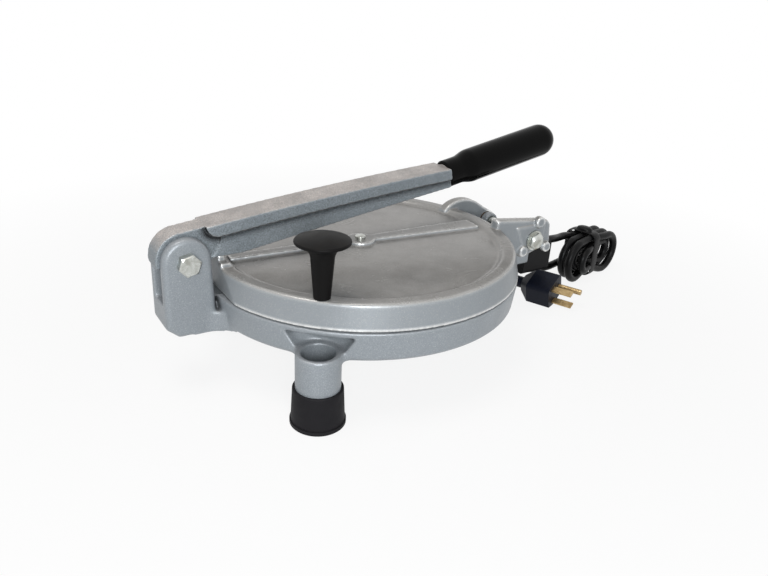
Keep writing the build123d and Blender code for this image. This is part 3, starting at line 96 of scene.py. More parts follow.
class Tree:
    """A node tree with short calls for adding nodes and joining their sockets."""

    def __init__(self, tree: bpy.types.NodeTree) -> None:
        """Wraps a node tree."""
        self.tree = tree

    def add(self, kind: str, **sockets: Feed) -> bpy.types.Node:
        """Adds a node and sets its input sockets.

        Args:
            kind: node type without its ShaderNode prefix.
            **sockets: input socket names, spaces as underscores, with values or output sockets.

        Returns:
            The new node.
        """
        node = self.tree.nodes.new("ShaderNode" + kind)
        for name, value in sockets.items():
            self.put(node.inputs[name.replace("_", " ")], value)
        return node

    def put(self, socket: bpy.types.NodeSocket, value: Feed) -> None:
        """Links an output socket to an input, or sets the input's own value.

        Args:
            socket: the input.
            value: an output socket, or a value.
        """
        if isinstance(value, bpy.types.NodeSocket):
            self.tree.links.new(value, socket)
        else:
            socket.default_value = value

    def maths(self, operation: str, *values: Feed) -> bpy.types.NodeSocket:
        """Adds a Math node.

        Args:
            operation: what it does.
            *values: its inputs, in order.

        Returns:
            Its output.
        """
        node = self.tree.nodes.new("ShaderNodeMath")
        node.operation = operation
        for socket, value in zip(node.inputs, values):
            self.put(socket, value)
        return node.outputs[0]

    def length(self, vector: bpy.types.NodeSocket) -> bpy.types.NodeSocket:
        """Adds a node that measures a vector.

        Args:
            vector: the vector's output socket.

        Returns:
            Its length.
        """
        node = self.add("VectorMath")
        node.operation = "LENGTH"
        self.put(node.inputs[0], vector)
        return node.outputs["Value"]

    def any_ray(self, *kinds: str) -> bpy.types.NodeSocket:
        """Tells some kinds of light ray from the others.

        Args:
            *kinds: the Light Path node's names for them.

        Returns:
            1 on rays of any of these kinds, else 0.
        """
        rays = self.add("LightPath").outputs
        found = rays[kinds[0]]
        for kind in kinds[1:]:
            found = self.maths("MAXIMUM", found, rays[kind])
        return found

    def spread(self, value: Feed, low: Feed, high: Feed, to_low: float = 0.0,
               to_high: float = 1.0) -> bpy.types.NodeSocket:
        """Maps a value from one range to another, clamped.

        Args:
            value: what is mapped.
            low: start of the range that it comes from.
            high: end of that range.
            to_low: what the start becomes.
            to_high: what the end becomes.

        Returns:
            The mapped value.
        """
        node = self.add("MapRange", Value=value)
        ends = {"From Min": low, "From Max": high, "To Min": to_low, "To Max": to_high}
        for name, number in ends.items():
            self.put(node.inputs[name], number)
        return node.outputs["Result"]

    def mix(self, factor: Feed, first: Feed, second: Feed) -> bpy.types.NodeSocket:
        """Mixes two colours.

        Args:
            factor: share of the second colour.
            first: the colour at 0.
            second: the colour at 1.

        Returns:
            The mixed colour.
        """
        node = self.tree.nodes.new("ShaderNodeMix")
        node.data_type = "RGBA"
        for index, value in zip(MIX_INPUTS, (factor, first, second)):
            self.put(node.inputs[index], value)
        return node.outputs[MIX_RESULT]


def linear(part: float) -> float:
    """One channel's linear value, from its value out of 255 as a screen shows it."""
    part /= 255
    return part / 12.92 if part <= 0.04045 else ((part + 0.055) / 1.055) ** 2.4


def tint(red: float, green: float, blue: float) -> Colour:
    """A linear colour with full alpha, from values out of 255 as a screen shows them."""
    return linear(red), linear(green), linear(blue), 1.0


def new_group(name: str, inputs: dict[str, float],
              outputs: list[str]) -> tuple[Tree, bpy.types.Node, bpy.types.Node]:
    """Starts a shared node group.

    Args:
        name: group name.
        inputs: float inputs with their defaults.
        outputs: names of float outputs.

    Returns:
        The group's tree, its input node and its output node.
    """
    group = bpy.data.node_groups.new(name, "ShaderNodeTree")
    for label, value in inputs.items():
        socket = group.interface.new_socket(label, in_out="INPUT", socket_type="NodeSocketFloat")
        socket.default_value = value
    for label in outputs:
        group.interface.new_socket(label, in_out="OUTPUT", socket_type="NodeSocketFloat")
    return Tree(group), group.nodes.new("NodeGroupInput"), group.nodes.new("NodeGroupOutput")


def cast_grain_group() -> bpy.types.NodeTree:
    """Makes the pebbled skin of cast and hammer-painted metal.

    Returns:
        A group that gives bump height, tone patches and bright flakes.
    """
    fine_share = 0.6
    flakes_per_pebble = 1.7
    tree, given, made = new_group("Cast grain", {"Scale": 900.0, "Flake": 0.8}, ["Height", "Tone", "Flakes"])
    place = tree.add("TexCoord").outputs["Object"]
    scale = given.outputs["Scale"]
    pebble = tree.add("TexVoronoi", Vector=place, Scale=scale)
    pebble.feature = "SMOOTH_F1"
    fine = tree.add("TexNoise", Vector=place, Scale=scale, Detail=3.0, Roughness=0.6)
    broad = tree.add("TexNoise", Vector=place, Scale=70.0, Detail=4.0, Roughness=0.55)
    grit = tree.maths("MULTIPLY", fine.outputs["Fac"], fine_share)
    cells = tree.add("TexVoronoi", Vector=place, Scale=tree.maths("MULTIPLY", scale, flakes_per_pebble))
    chance = tree.add("TexWhiteNoise", Vector=cells.outputs["Position"])
    flakes = tree.maths("GREATER_THAN", chance.outputs["Value"], given.outputs["Flake"])
    tree.put(made.inputs["Height"], tree.maths("ADD", pebble.outputs["Distance"], grit))
    tree.put(made.inputs["Tone"], tree.spread(broad.outputs["Fac"], low=0.35, high=0.65))
    tree.put(made.inputs["Flakes"], flakes)
    return tree.tree


def handling_group() -> bpy.types.NodeTree:
    """Makes the marks of use.

    Returns:
        A group that gives soft smudges and fine scratches that run every way.
    """
    tree, given, made = new_group("Handling", {"Scale": 35.0}, ["Smudge", "Scratch"])
    place = tree.add("TexCoord").outputs["Object"]
    cloud = tree.add("TexNoise", Vector=place, Scale=given.outputs["Scale"], Detail=6.0, Roughness=0.65,
                     Distortion=0.7)
    stretch = tree.add("Mapping", Vector=place, Scale=(1.0, 14.0, 6.0), Rotation=(0.3, 0.2, 0.7))
    hair = tree.add("TexNoise", Vector=stretch.outputs["Vector"], Scale=220.0, Detail=4.0, Roughness=0.7)
    tree.put(made.inputs["Smudge"], tree.spread(cloud.outputs["Fac"], low=0.38, high=0.68))
    tree.put(made.inputs["Scratch"], tree.spread(hair.outputs["Fac"], low=0.6, high=0.72))
    return tree.tree


def stipple_group() -> bpy.types.NodeTree:
    """Makes the moulded skin of rubber and plastic.

    Returns:
        A group that gives a fine stipple's height, and a mask for settled dust and painted top light on what
        faces up.
    """
    tree, given, made = new_group("Moulded skin", {"Scale": 1600.0}, ["Height", "Dust_and_toplight"])
    spot = tree.add("TexCoord")
    place = spot.outputs["Object"]
    fine = tree.add("TexNoise", Vector=place, Scale=given.outputs["Scale"], Detail=2.0, Roughness=0.5)
    wave = tree.add("TexNoise", Vector=place, Scale=110.0, Detail=3.0)
    up = tree.add("SeparateXYZ", Vector=spot.outputs["Normal"]).outputs["Z"]
    facing = tree.spread(up, low=0.2, high=1.0)
    patches = tree.spread(wave.outputs["Fac"], low=0.35, high=0.7)
    tree.put(made.inputs["Height"], tree.maths("ADD", fine.outputs["Fac"], wave.outputs["Fac"]))
    tree.put(made.inputs["Dust_and_toplight"], tree.maths("MULTIPLY", facing, patches))
    return tree.tree


def ring_group() -> bpy.types.NodeTree:
    """Makes the fine turning rings about the plates' axis.

    Returns:
        A group that gives their height.
    """
    crest = 0.5
    tree, given, made = new_group("Turned rings", {"Axis X": 0.0, "Pitch": 0.6 * MM}, ["Height"])
    place = tree.add("SeparateXYZ", Vector=tree.add("TexCoord").outputs["Object"])
    across = tree.maths("SUBTRACT", place.outputs["X"], given.outputs["Axis X"])
    reach = tree.add("CombineXYZ", X=across, Y=place.outputs["Y"])
    turns = tree.maths("DIVIDE", tree.length(reach.outputs["Vector"]), given.outputs["Pitch"])
    tree.put(made.inputs["Height"], tree.maths("PINGPONG", turns, crest))
    return tree.tree


def crevice_group() -> bpy.types.NodeTree:
    """Finds how enclosed a spot is.

    Returns:
        A group that gives shade in corners and under ledges, and a mask of rubbed paint and painted
        highlight along edges that stand out.
    """
    inputs = {"Reach": 5 * MM, "Edge": 1.1 * MM, "Closed": 0.3, "Open": 0.86}
    tree, given, made = new_group("Corners and edges", inputs, ["Shade", "Wear_and_highlight"])
    masks = []
    for name, inside in (("Reach", False), ("Edge", True)):
        open_sky = tree.add("AmbientOcclusion", Distance=given.outputs[name])
        open_sky.only_local = True
        open_sky.inside = inside
        open_sky.samples = 8
        masks.append(open_sky.outputs["AO"])
    outside, within = masks
    # Painted shade: dark where corners and ledges close in.
    shade = tree.spread(outside, given.outputs["Closed"], given.outputs["Open"], to_low=1.0, to_high=0.0)
    # Edges that stand out: partly rubbed paint, partly a painted highlight.
    worn_and_highlight = tree.spread(within, low=0.7, high=0.95, to_low=1.0, to_high=0.0)
    unshaded = tree.spread(shade, low=0.0, high=0.5, to_low=1.0, to_high=0.0)
    tree.put(made.inputs["Shade"], shade)
    tree.put(made.inputs["Wear_and_highlight"], tree.maths("MULTIPLY", worn_and_highlight, unshaded))
    return tree.tree


def upright_group() -> bpy.types.NodeTree:
    """Finds which way a face looks.

    Returns:
        A group that gives 1 on upright sides and 0 on what faces up or down.
    """
    tree, given, made = new_group("Upright", {"Level": 0.8}, ["Side"])
    normal = tree.add("SeparateXYZ", Vector=tree.add("TexCoord").outputs["Normal"])
    flat = tree.maths("ABSOLUTE", normal.outputs["Z"])
    ratio = tree.maths("DIVIDE", flat, given.outputs["Level"])
    tree.put(made.inputs["Side"], tree.spread(ratio, low=0.45, high=1.0, to_low=1.0, to_high=0.0))
    return tree.tree


class Shared:
    """The node groups that several finishes share."""

    def __init__(self) -> None:
        """Builds each group once."""
        self.grain = cast_grain_group()
        self.handling = handling_group()
        self.stipple = stipple_group()
        self.rings = ring_group()
        self.crevices = crevice_group()
        self.upright = upright_group()

    def use(self, tree: Tree, group: bpy.types.NodeTree, **sockets: Feed) -> bpy.types.Node:
        """Adds a group to a material's tree and sets its inputs.

        Args:
            tree: the material's tree.
            group: the shared group.
            **sockets: input names, spaces as underscores, with their values.

        Returns:
            The group's node.
        """
        node = tree.tree.nodes.new("ShaderNodeGroup")
        node.node_tree = group
        for name, value in sockets.items():
            tree.put(node.inputs[name.replace("_", " ")], value)
        return node


def start_material(name: str) -> tuple[bpy.types.Material, Tree, bpy.types.Node]:
    """Starts a node material.

    Args:
        name: the material's name.

    Returns:
        The material, its tree and its Principled node.
    """
    material = bpy.data.materials.new(name)
    material.use_nodes = True
    tree = Tree(material.node_tree)
    return material, tree, material.node_tree.nodes["Principled BSDF"]


def roughen(tree: Tree, skin: bpy.types.Node, mask: Feed, clean: float, marked: float) -> None:
    """Sets a skin's roughness: one value where a mask is 0, another where it is 1."""
    tree.put(skin.inputs["Roughness"], tree.spread(mask, low=0.0, high=1.0, to_low=clean, to_high=marked))


def emboss(tree: Tree, skin: bpy.types.Node, height: Feed, strength: float, depth: float) -> None:
    """Gives a skin a bump of some strength and depth."""
    bump = tree.add("Bump", Height=height, Strength=strength, Distance=depth)
    tree.put(skin.inputs["Normal"], bump.outputs["Normal"])


@dataclass(frozen=True)
class CastFinish:
    """Silver casting: pebbled skin, flakes and smudges over metal, with painted shade on upright sides, in
    corners and under ledges, and edges partly rubbed and partly lit by a painted highlight.

    Attributes:
        name: the record's slot, or the casting's own finish.
        light: tone of the skin's light patches.
        dark: tone of its dark patches.
        flake: tone of its bright flakes.
        side: painted shade and cool light on upright sides, as a tone.
        grime_and_shade: painted shade tone in corners and under ledges, and the grimy tone between pebbles.
        worn_and_highlight: tone of edges that stand out, partly rubbed paint and partly a painted highlight.
        grain: size of a pebble.
        flake_share: share of cells that are flakes.
        bump: strength of the pebbles.
        rough: roughness of what faces up or down.
        side_rough: roughness of upright sides.
        metal: how metallic the skin is.
        edge: how far the rubbed and painted-highlight edge reaches in from an edge.
        reach: how far a corner's shade reaches.
        closed: open share at which a corner is darkest.
        open_at: open share at which its shade ends.
        wear: strength of the rubbed and painted-highlight edge tone.
        shine: strength of reflections on what isn't metallic.
        bare: how much more metallic the edges that stand out are.
        side_shade_share: strength of the painted side shade.
        glint: strength of the flakes' tone.
        painted_corner_shade: strength of the painted shade in corners and under ledges.
        smear: how much smudges roughen the skin.
        relief: depth of the pebbles as a share of their size.
    """

    name: str
    light: Colour
    dark: Colour
    flake: Colour
    side: Colour
    grime_and_shade: Colour
    worn_and_highlight: Colour
    grain: float
    flake_share: float
    bump: float
    rough: float
    side_rough: float
    metal: float
    edge: float = 1.5 * MM
    reach: float = 5 * MM
    closed: float = 0.3
    open_at: float = 0.86
    wear: float = 0.6
    shine: float = 0.5
    bare: float = 0.6
    side_shade_share: float = 0.85
    glint: float = 0.5
    painted_corner_shade: float = 0.96
    smear: float = 0.1
    relief: float = 0.2

    def make(self, shared: Shared) -> bpy.types.Material:
        """Builds the material.

        Args:
            shared: the node groups.

        Returns:
            The material.
        """
        material, tree, skin = start_material(self.name)
        grain = shared.use(tree, shared.grain, Scale=1 / self.grain, Flake=1 - self.flake_share)
        smudge = shared.use(tree, shared.handling).outputs["Smudge"]
        side = shared.use(tree, shared.upright).outputs["Side"]
        enclosed = shared.use(tree, shared.crevices, Reach=self.reach, Edge=self.edge, Closed=self.closed,
                              Open=self.open_at)
        speck = tree.spread(grain.outputs["Height"], low=0.45, high=0.95, to_low=0.55, to_high=0.0)
        colour = tree.mix(grain.outputs["Tone"], self.dark, self.light)
        # Layers over the tone: painted shade and cool light on upright sides, grimy specks between pebbles,
        # flakes, painted shade in corners and under ledges, and rubbed edges with a painted highlight.
        for mask, share, over in (
            (side, self.side_shade_share, self.side),
            (speck, self.bump, self.grime_and_shade),
            (grain.outputs["Flakes"], self.glint, self.flake),
            (enclosed.outputs["Shade"], self.painted_corner_shade, self.grime_and_shade),
            (enclosed.outputs["Wear_and_highlight"], self.wear, self.worn_and_highlight),
        ):
            colour = tree.mix(tree.maths("MULTIPLY", mask, share), colour, over)
        tree.put(skin.inputs["Base Color"], colour)
        bright = tree.maths("MULTIPLY", enclosed.outputs["Wear_and_highlight"], self.bare)
        tree.put(skin.inputs["Metallic"], tree.maths("ADD", bright, self.metal))
        tree.put(skin.inputs["Specular IOR Level"], self.shine)
        smeared = tree.maths("MULTIPLY", smudge, self.smear)
        rough = tree.spread(side, low=0.0, high=1.0, to_low=self.rough, to_high=self.side_rough)
        tree.put(skin.inputs["Roughness"], tree.maths("ADD", smeared, rough))
        emboss(tree, skin, grain.outputs["Height"], self.bump, self.grain * self.relief)
        return material


@dataclass(frozen=True)
class BoltFinish:
    """Plain or plated metal with scratches and smudges."""

    name: str
    clean: Colour
    dull: Colour
    rough: float
    smear: float = 0.18
    smudge_scale: float = 160.0
    scratch: float = 0.25
    scratch_depth: float = 0.04 * MM

    def make(self, shared: Shared) -> bpy.types.Material:
        """Builds the material.

        Args:
            shared: the node groups.

        Returns:
            The material.
        """
        material, tree, skin = start_material(self.name)
        marks = shared.use(tree, shared.handling, Scale=self.smudge_scale)
        smudge = marks.outputs["Smudge"]
        tree.put(skin.inputs["Base Color"], tree.mix(smudge, self.clean, self.dull))
        tree.put(skin.inputs["Metallic"], 1.0)
        roughen(tree, skin, smudge, self.rough, self.rough + self.smear)
        emboss(tree, skin, marks.outputs["Scratch"], self.scratch, self.scratch_depth)
        return material


@dataclass(frozen=True)
class MouldedFinish:
    """Rubber, vinyl or moulded plastic."""

    name: str
    colour: Colour
    dusty_and_toplit: Colour
    rough: float
    bump: float
    shine: float = 0.3
    smear: float = 0.12
    smudge_scale: float = 60.0
    stipple_depth: float = 0.1 * MM

    def make(self, shared: Shared) -> bpy.types.Material:
        """Builds the material.

        Args:
            shared: the node groups.

        Returns:
            The material.
        """
        material, tree, skin = start_material(self.name)
        stipple = shared.use(tree, shared.stipple)
        smudge = shared.use(tree, shared.handling, Scale=self.smudge_scale).outputs["Smudge"]
        # The upward tone is settled dust and painted top light.
        tree.put(skin.inputs["Base Color"], tree.mix(stipple.outputs["Dust_and_toplight"], self.colour, self.dusty_and_toplit))
        roughen(tree, skin, smudge, self.rough, self.rough + self.smear)
        tree.put(skin.inputs["Specular IOR Level"], self.shine)
        emboss(tree, skin, stipple.outputs["Height"], self.bump, self.stipple_depth)
        return material


@dataclass(frozen=True)
class TurnedFinish:
    """Plate faced on a lathe."""

    name: str
    clean: Colour
    dull: Colour
    axis_x: float
    rough: float = 0.26
    dull_rough: float = 0.4
    ring: float = 0.35
    ring_depth: float = 0.05 * MM

    def make(self, shared: Shared) -> bpy.types.Material:
        """Builds the material.

        Args:
            shared: the node groups.

        Returns:
            The material.
        """
        material, tree, skin = start_material(self.name)
        rings = shared.use(tree, shared.rings, Axis_X=self.axis_x)
        smudge = shared.use(tree, shared.handling).outputs["Smudge"]
        tree.put(skin.inputs["Base Color"], tree.mix(smudge, self.clean, self.dull))
        tree.put(skin.inputs["Metallic"], 1.0)
        roughen(tree, skin, smudge, self.rough, self.dull_rough)
        emboss(tree, skin, rings.outputs["Height"], self.ring, self.ring_depth)
        return material


Finish = CastFinish | BoltFinish | MouldedFinish | TurnedFinish


def only(piece: bpy.types.Object) -> None:
    """Deselects all, then selects a piece and makes it active."""
    bpy.ops.object.select_all(action="DESELECT")
    piece.select_set(True)
    bpy.context.view_layer.objects.active = piece


def welded_copy(source: bpy.types.Object, name: str, level: float = 0.0) -> bpy.types.Object:
    """Copies a CAD node and merges the corners of its loose triangles.

    Args:
        source: the CAD object.
        name: the copy's name.
        level: angle in degrees under which neighbouring faces become one, or 0 to leave them.

    Returns:
        The copy, at the origin, selected and active.
    """
    piece = bpy.data.objects.new(name, source.data.copy())
    bpy.context.scene.collection.objects.link(piece)
    only(piece)
    bpy.ops.object.mode_set(mode="EDIT")
    bpy.ops.mesh.select_all(action="SELECT")
    bpy.ops.mesh.customdata_custom_splitnormals_clear()
    bpy.ops.mesh.remove_doubles(threshold=WELD)
    if level:
        bpy.ops.mesh.dissolve_limited(angle_limit=math.radians(level))
    bpy.ops.object.mode_set(mode="OBJECT")
    return piece


def modify(piece: bpy.types.Object, kind: str, **settings: object) -> None:
    """Adds a modifier to the active piece and applies it.

    Args:
        piece: the active object.
        kind: the modifier's type.
        **settings: its settings, in the order that they are set.
    """
    modifier = piece.modifiers.new(kind.lower(), kind)
    for name, value in settings.items():
        setattr(modifier, name, value)
    bpy.ops.object.modifier_apply(modifier=modifier.name)


def pick(piece: bpy.types.Object, test: Callable[[Vector], bool]) -> None:
    """Opens a piece in edit mode with only some faces selected.

    Args:
        piece: the active object.
        test: says from a face's normal whether it is selected.
    """
    bpy.ops.object.mode_set(mode="EDIT")
    bpy.ops.mesh.select_mode(type="FACE")
    bpy.ops.mesh.select_all(action="DESELECT")
    bpy.ops.object.mode_set(mode="OBJECT")
    for face in piece.data.polygons:
        face.select = test(face.normal)
    bpy.ops.object.mode_set(mode="EDIT")


def draw_out(move: tuple[float, float, float]) -> None:
    """Extrudes the selected faces."""
    bpy.ops.mesh.extrude_region_move(TRANSFORM_OT_translate={"value": move})


def face_outwards() -> None:
    """Turns all faces of the mesh in edit mode outwards and leaves edit mode."""
    bpy.ops.mesh.select_all(action="SELECT")
    bpy.ops.mesh.normals_make_consistent(inside=False)
    bpy.ops.object.mode_set(mode="OBJECT")


def settle(piece: bpy.types.Object, name: str, finish: bpy.types.Material, body: Body) -> None:
    """Names a finished piece, gives it its finish and slot, and sets it on its body.

    Args:
        piece: the mesh object.
        name: its name.
        finish: its material.
        body: the body that it rides on.
    """
    piece.name = name
    piece.data.name = name
    piece.data.materials.clear()
    piece.data.materials.append(finish)
    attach(piece, body.value)
    LOG.info("%s: %d faces on %s", name, len(piece.data.polygons), body.value)


@dataclass
class Casting:
    """A sand casting that stands for one CAD node: the same shape with the soft edges of a mould."""

    node: str
    body: Body
    slot: str
    voxel: float
    passes: int
    faces: int = 75000
    softness: float = 0.5

    def build(self, frame: dict, finish: bpy.types.Material) -> bpy.types.Object:
        """Softens a copy of the CAD node and dresses it.

        Args:
            frame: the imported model.
            finish: the casting's material.

        Returns:
            The dressed casting.
        """
        piece = welded_copy(frame["nodes"][self.node], self.node + "_cast")
        modify(piece, "REMESH", mode="VOXEL", voxel_size=self.voxel)
        modify(piece, "SMOOTH", factor=self.softness, iterations=self.passes)
        modify(piece, "DECIMATE", ratio=min(1.0, self.faces / len(piece.data.polygons)))
        bpy.ops.object.shade_smooth()
        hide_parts(self.node)
        settle(piece, self.node + "_cast", finish, self.body)
        return piece


@dataclass
class HexFastener:
    """A bolt or nut along Y whose hexagon has its corners turned off at the outer face.

    Attributes:
        node: the CAD node.
        body: the body that it rides on.
        outward: 1 where the outer face looks along Y, -1 where it looks the other way.
        across: the hexagon's size across its flats.
        face_share: radius of the round outer face as a share of that size.
        clear_share: radius that clears the corners, as a share of it.
        lean: slope of the turned corners in degrees.
        crease: angle in degrees past which an edge stays sharp.
    """

    node: str
    body: Body
    outward: int
    across: float
    face_share: float = 0.47
    clear_share: float = 0.7
    lean: float = 30.0
    crease: float = 18.0

    def envelope(self, low: Vector, high: Vector) -> bpy.types.Object:
        """Makes a cone at the outer face that runs into a cylinder past the other end.

        Args:
            low: the fastener's least corner.
            high: its greatest corner.

        Returns:
            The mesh that the fastener is kept within.
        """
        wide = self.across * self.clear_share
        narrow = self.across * self.face_share
        depth = (wide - narrow) * math.tan(math.radians(self.lean))
        face = low.y if self.outward < 0 else high.y
        middle = (low + high) / 2
        bpy.ops.object.select_all(action="DESELECT")
        bpy.ops.mesh.primitive_cone_add(vertices=48, radius1=wide, radius2=narrow, depth=depth,
                                        location=(middle.x, face - self.outward * depth / 2, middle.z),
                                        rotation=(-self.outward * math.pi / 2, 0, 0))
        tool = bpy.context.object
        bpy.ops.object.transform_apply(location=True, rotation=True, scale=True)
        pick(tool, lambda normal: normal.y * self.outward < -FACING)
        draw_out((0, -self.outward * (high.y - low.y), 0))
        face_outwards()
        return tool

    def build(self, frame: dict, finish: bpy.types.Material) -> bpy.types.Object:
        """Turns the corners off a copy of the CAD node.

        Args:
            frame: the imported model.
            finish: the metal's material.

        Returns:
            The dressed fastener.
        """
        low, high = (Vector(corner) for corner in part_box(self.node))
        piece = welded_copy(frame["nodes"][self.node], self.node + "_turned", level=1.0)
        tool = self.envelope(low, high)
        only(piece)
        modify(piece, "BOOLEAN", operation="INTERSECT", solver="EXACT", object=tool)
        bpy.data.objects.remove(tool)
        bpy.ops.object.shade_smooth_by_angle(angle=math.radians(self.crease))
        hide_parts(self.node)
        settle(piece, self.node + "_turned", finish, self.body)
        return piece


@dataclass
class StrainRelief:
    """The ribbed, tapered sleeve where the cord leaves the box, with its sizes in millimetres.

    Attributes:
        start: middle of its end inside the box's cover.
        collar: distances and radii of the plain collar.
        ribs: each rib's radius where it begins.
        grooves: radius of the groove behind each rib.
        first_rib: where the first rib begins.
        pitch: from one rib to the next.
        rib_run: length of a rib.
        rib_fall: how much a rib tapers.
        groove_start: from a rib's start to its groove.
        groove_end: from a rib's start to the groove's end.
        nose: distances and radii of the tip, which takes in the last groove.
        crease: angle in degrees past which an edge stays sharp.
    """

    start: Vector
    collar: tuple[tuple[float, float], ...] = ((4.0, 7.2), (6.0, 7.2))
    ribs: tuple[float, ...] = (6.6, 6.1, 5.6, 5.2)
    grooves: tuple[float, ...] = (5.7, 5.2, 4.8, 4.5)
    first_rib: float = 6.6
    pitch: float = 3.6
    rib_run: float = 1.8
    rib_fall: float = 0.2
    groove_start: float = 2.2
    groove_end: float = 3.2
    nose: tuple[tuple[float, float], ...] = ((24.0, 4.2), (24.6, 3.9))
    crease: float = 50.0

    def rings(self) -> list[tuple[float, float]]:
        """Works out the sleeve's outline.

        Returns:
            Distances along the sleeve with its radius at each.
        """
        rings = list(self.collar)
        for place, (rib, groove) in enumerate(zip(self.ribs, self.grooves)):
            along = self.first_rib + self.pitch * place
            rings += [(along, rib), (along + self.rib_run, rib - self.rib_fall)]
            rings.append((along + self.groove_start, groove))
            if place < len(self.ribs) - 1:
                rings.append((along + self.groove_end, groove))
        return rings + list(self.nose)

    def build(self, finish: bpy.types.Material) -> bpy.types.Object:
        """Draws the sleeve out ring by ring along X.

        Args:
            finish: the sleeve's material.

        Returns:
            The dressed sleeve.
        """
        radius = self.collar[0][1] * MM
        bpy.ops.object.select_all(action="DESELECT")
        bpy.ops.mesh.primitive_circle_add(vertices=40, radius=radius, fill_type="NGON", location=self.start,
                                          rotation=(0, math.pi / 2, 0))
        piece = bpy.context.object
        bpy.ops.object.transform_apply(location=True, rotation=True, scale=True)
        bpy.ops.object.mode_set(mode="EDIT")
        bpy.ops.mesh.select_all(action="SELECT")
        centre = self.start.copy()
        for along, wide in self.rings():
            move = self.start.x + along * MM - centre.x
            draw_out((move, 0, 0))
            centre.x += move
            scale = wide * MM / radius
            bpy.ops.transform.resize(value=(1, scale, scale), center_override=centre)
            radius = wide * MM
        face_outwards()
        bpy.ops.object.shade_smooth_by_angle(angle=math.radians(self.crease))
        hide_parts("cord_gland")
        settle(piece, "strain_relief", finish, Body.BASE)
        return piece


@dataclass(frozen=True)
class Ply:
    """Half heights of one set of turns, at the folded ends and at the tied waist."""

    end: float
    waist: float


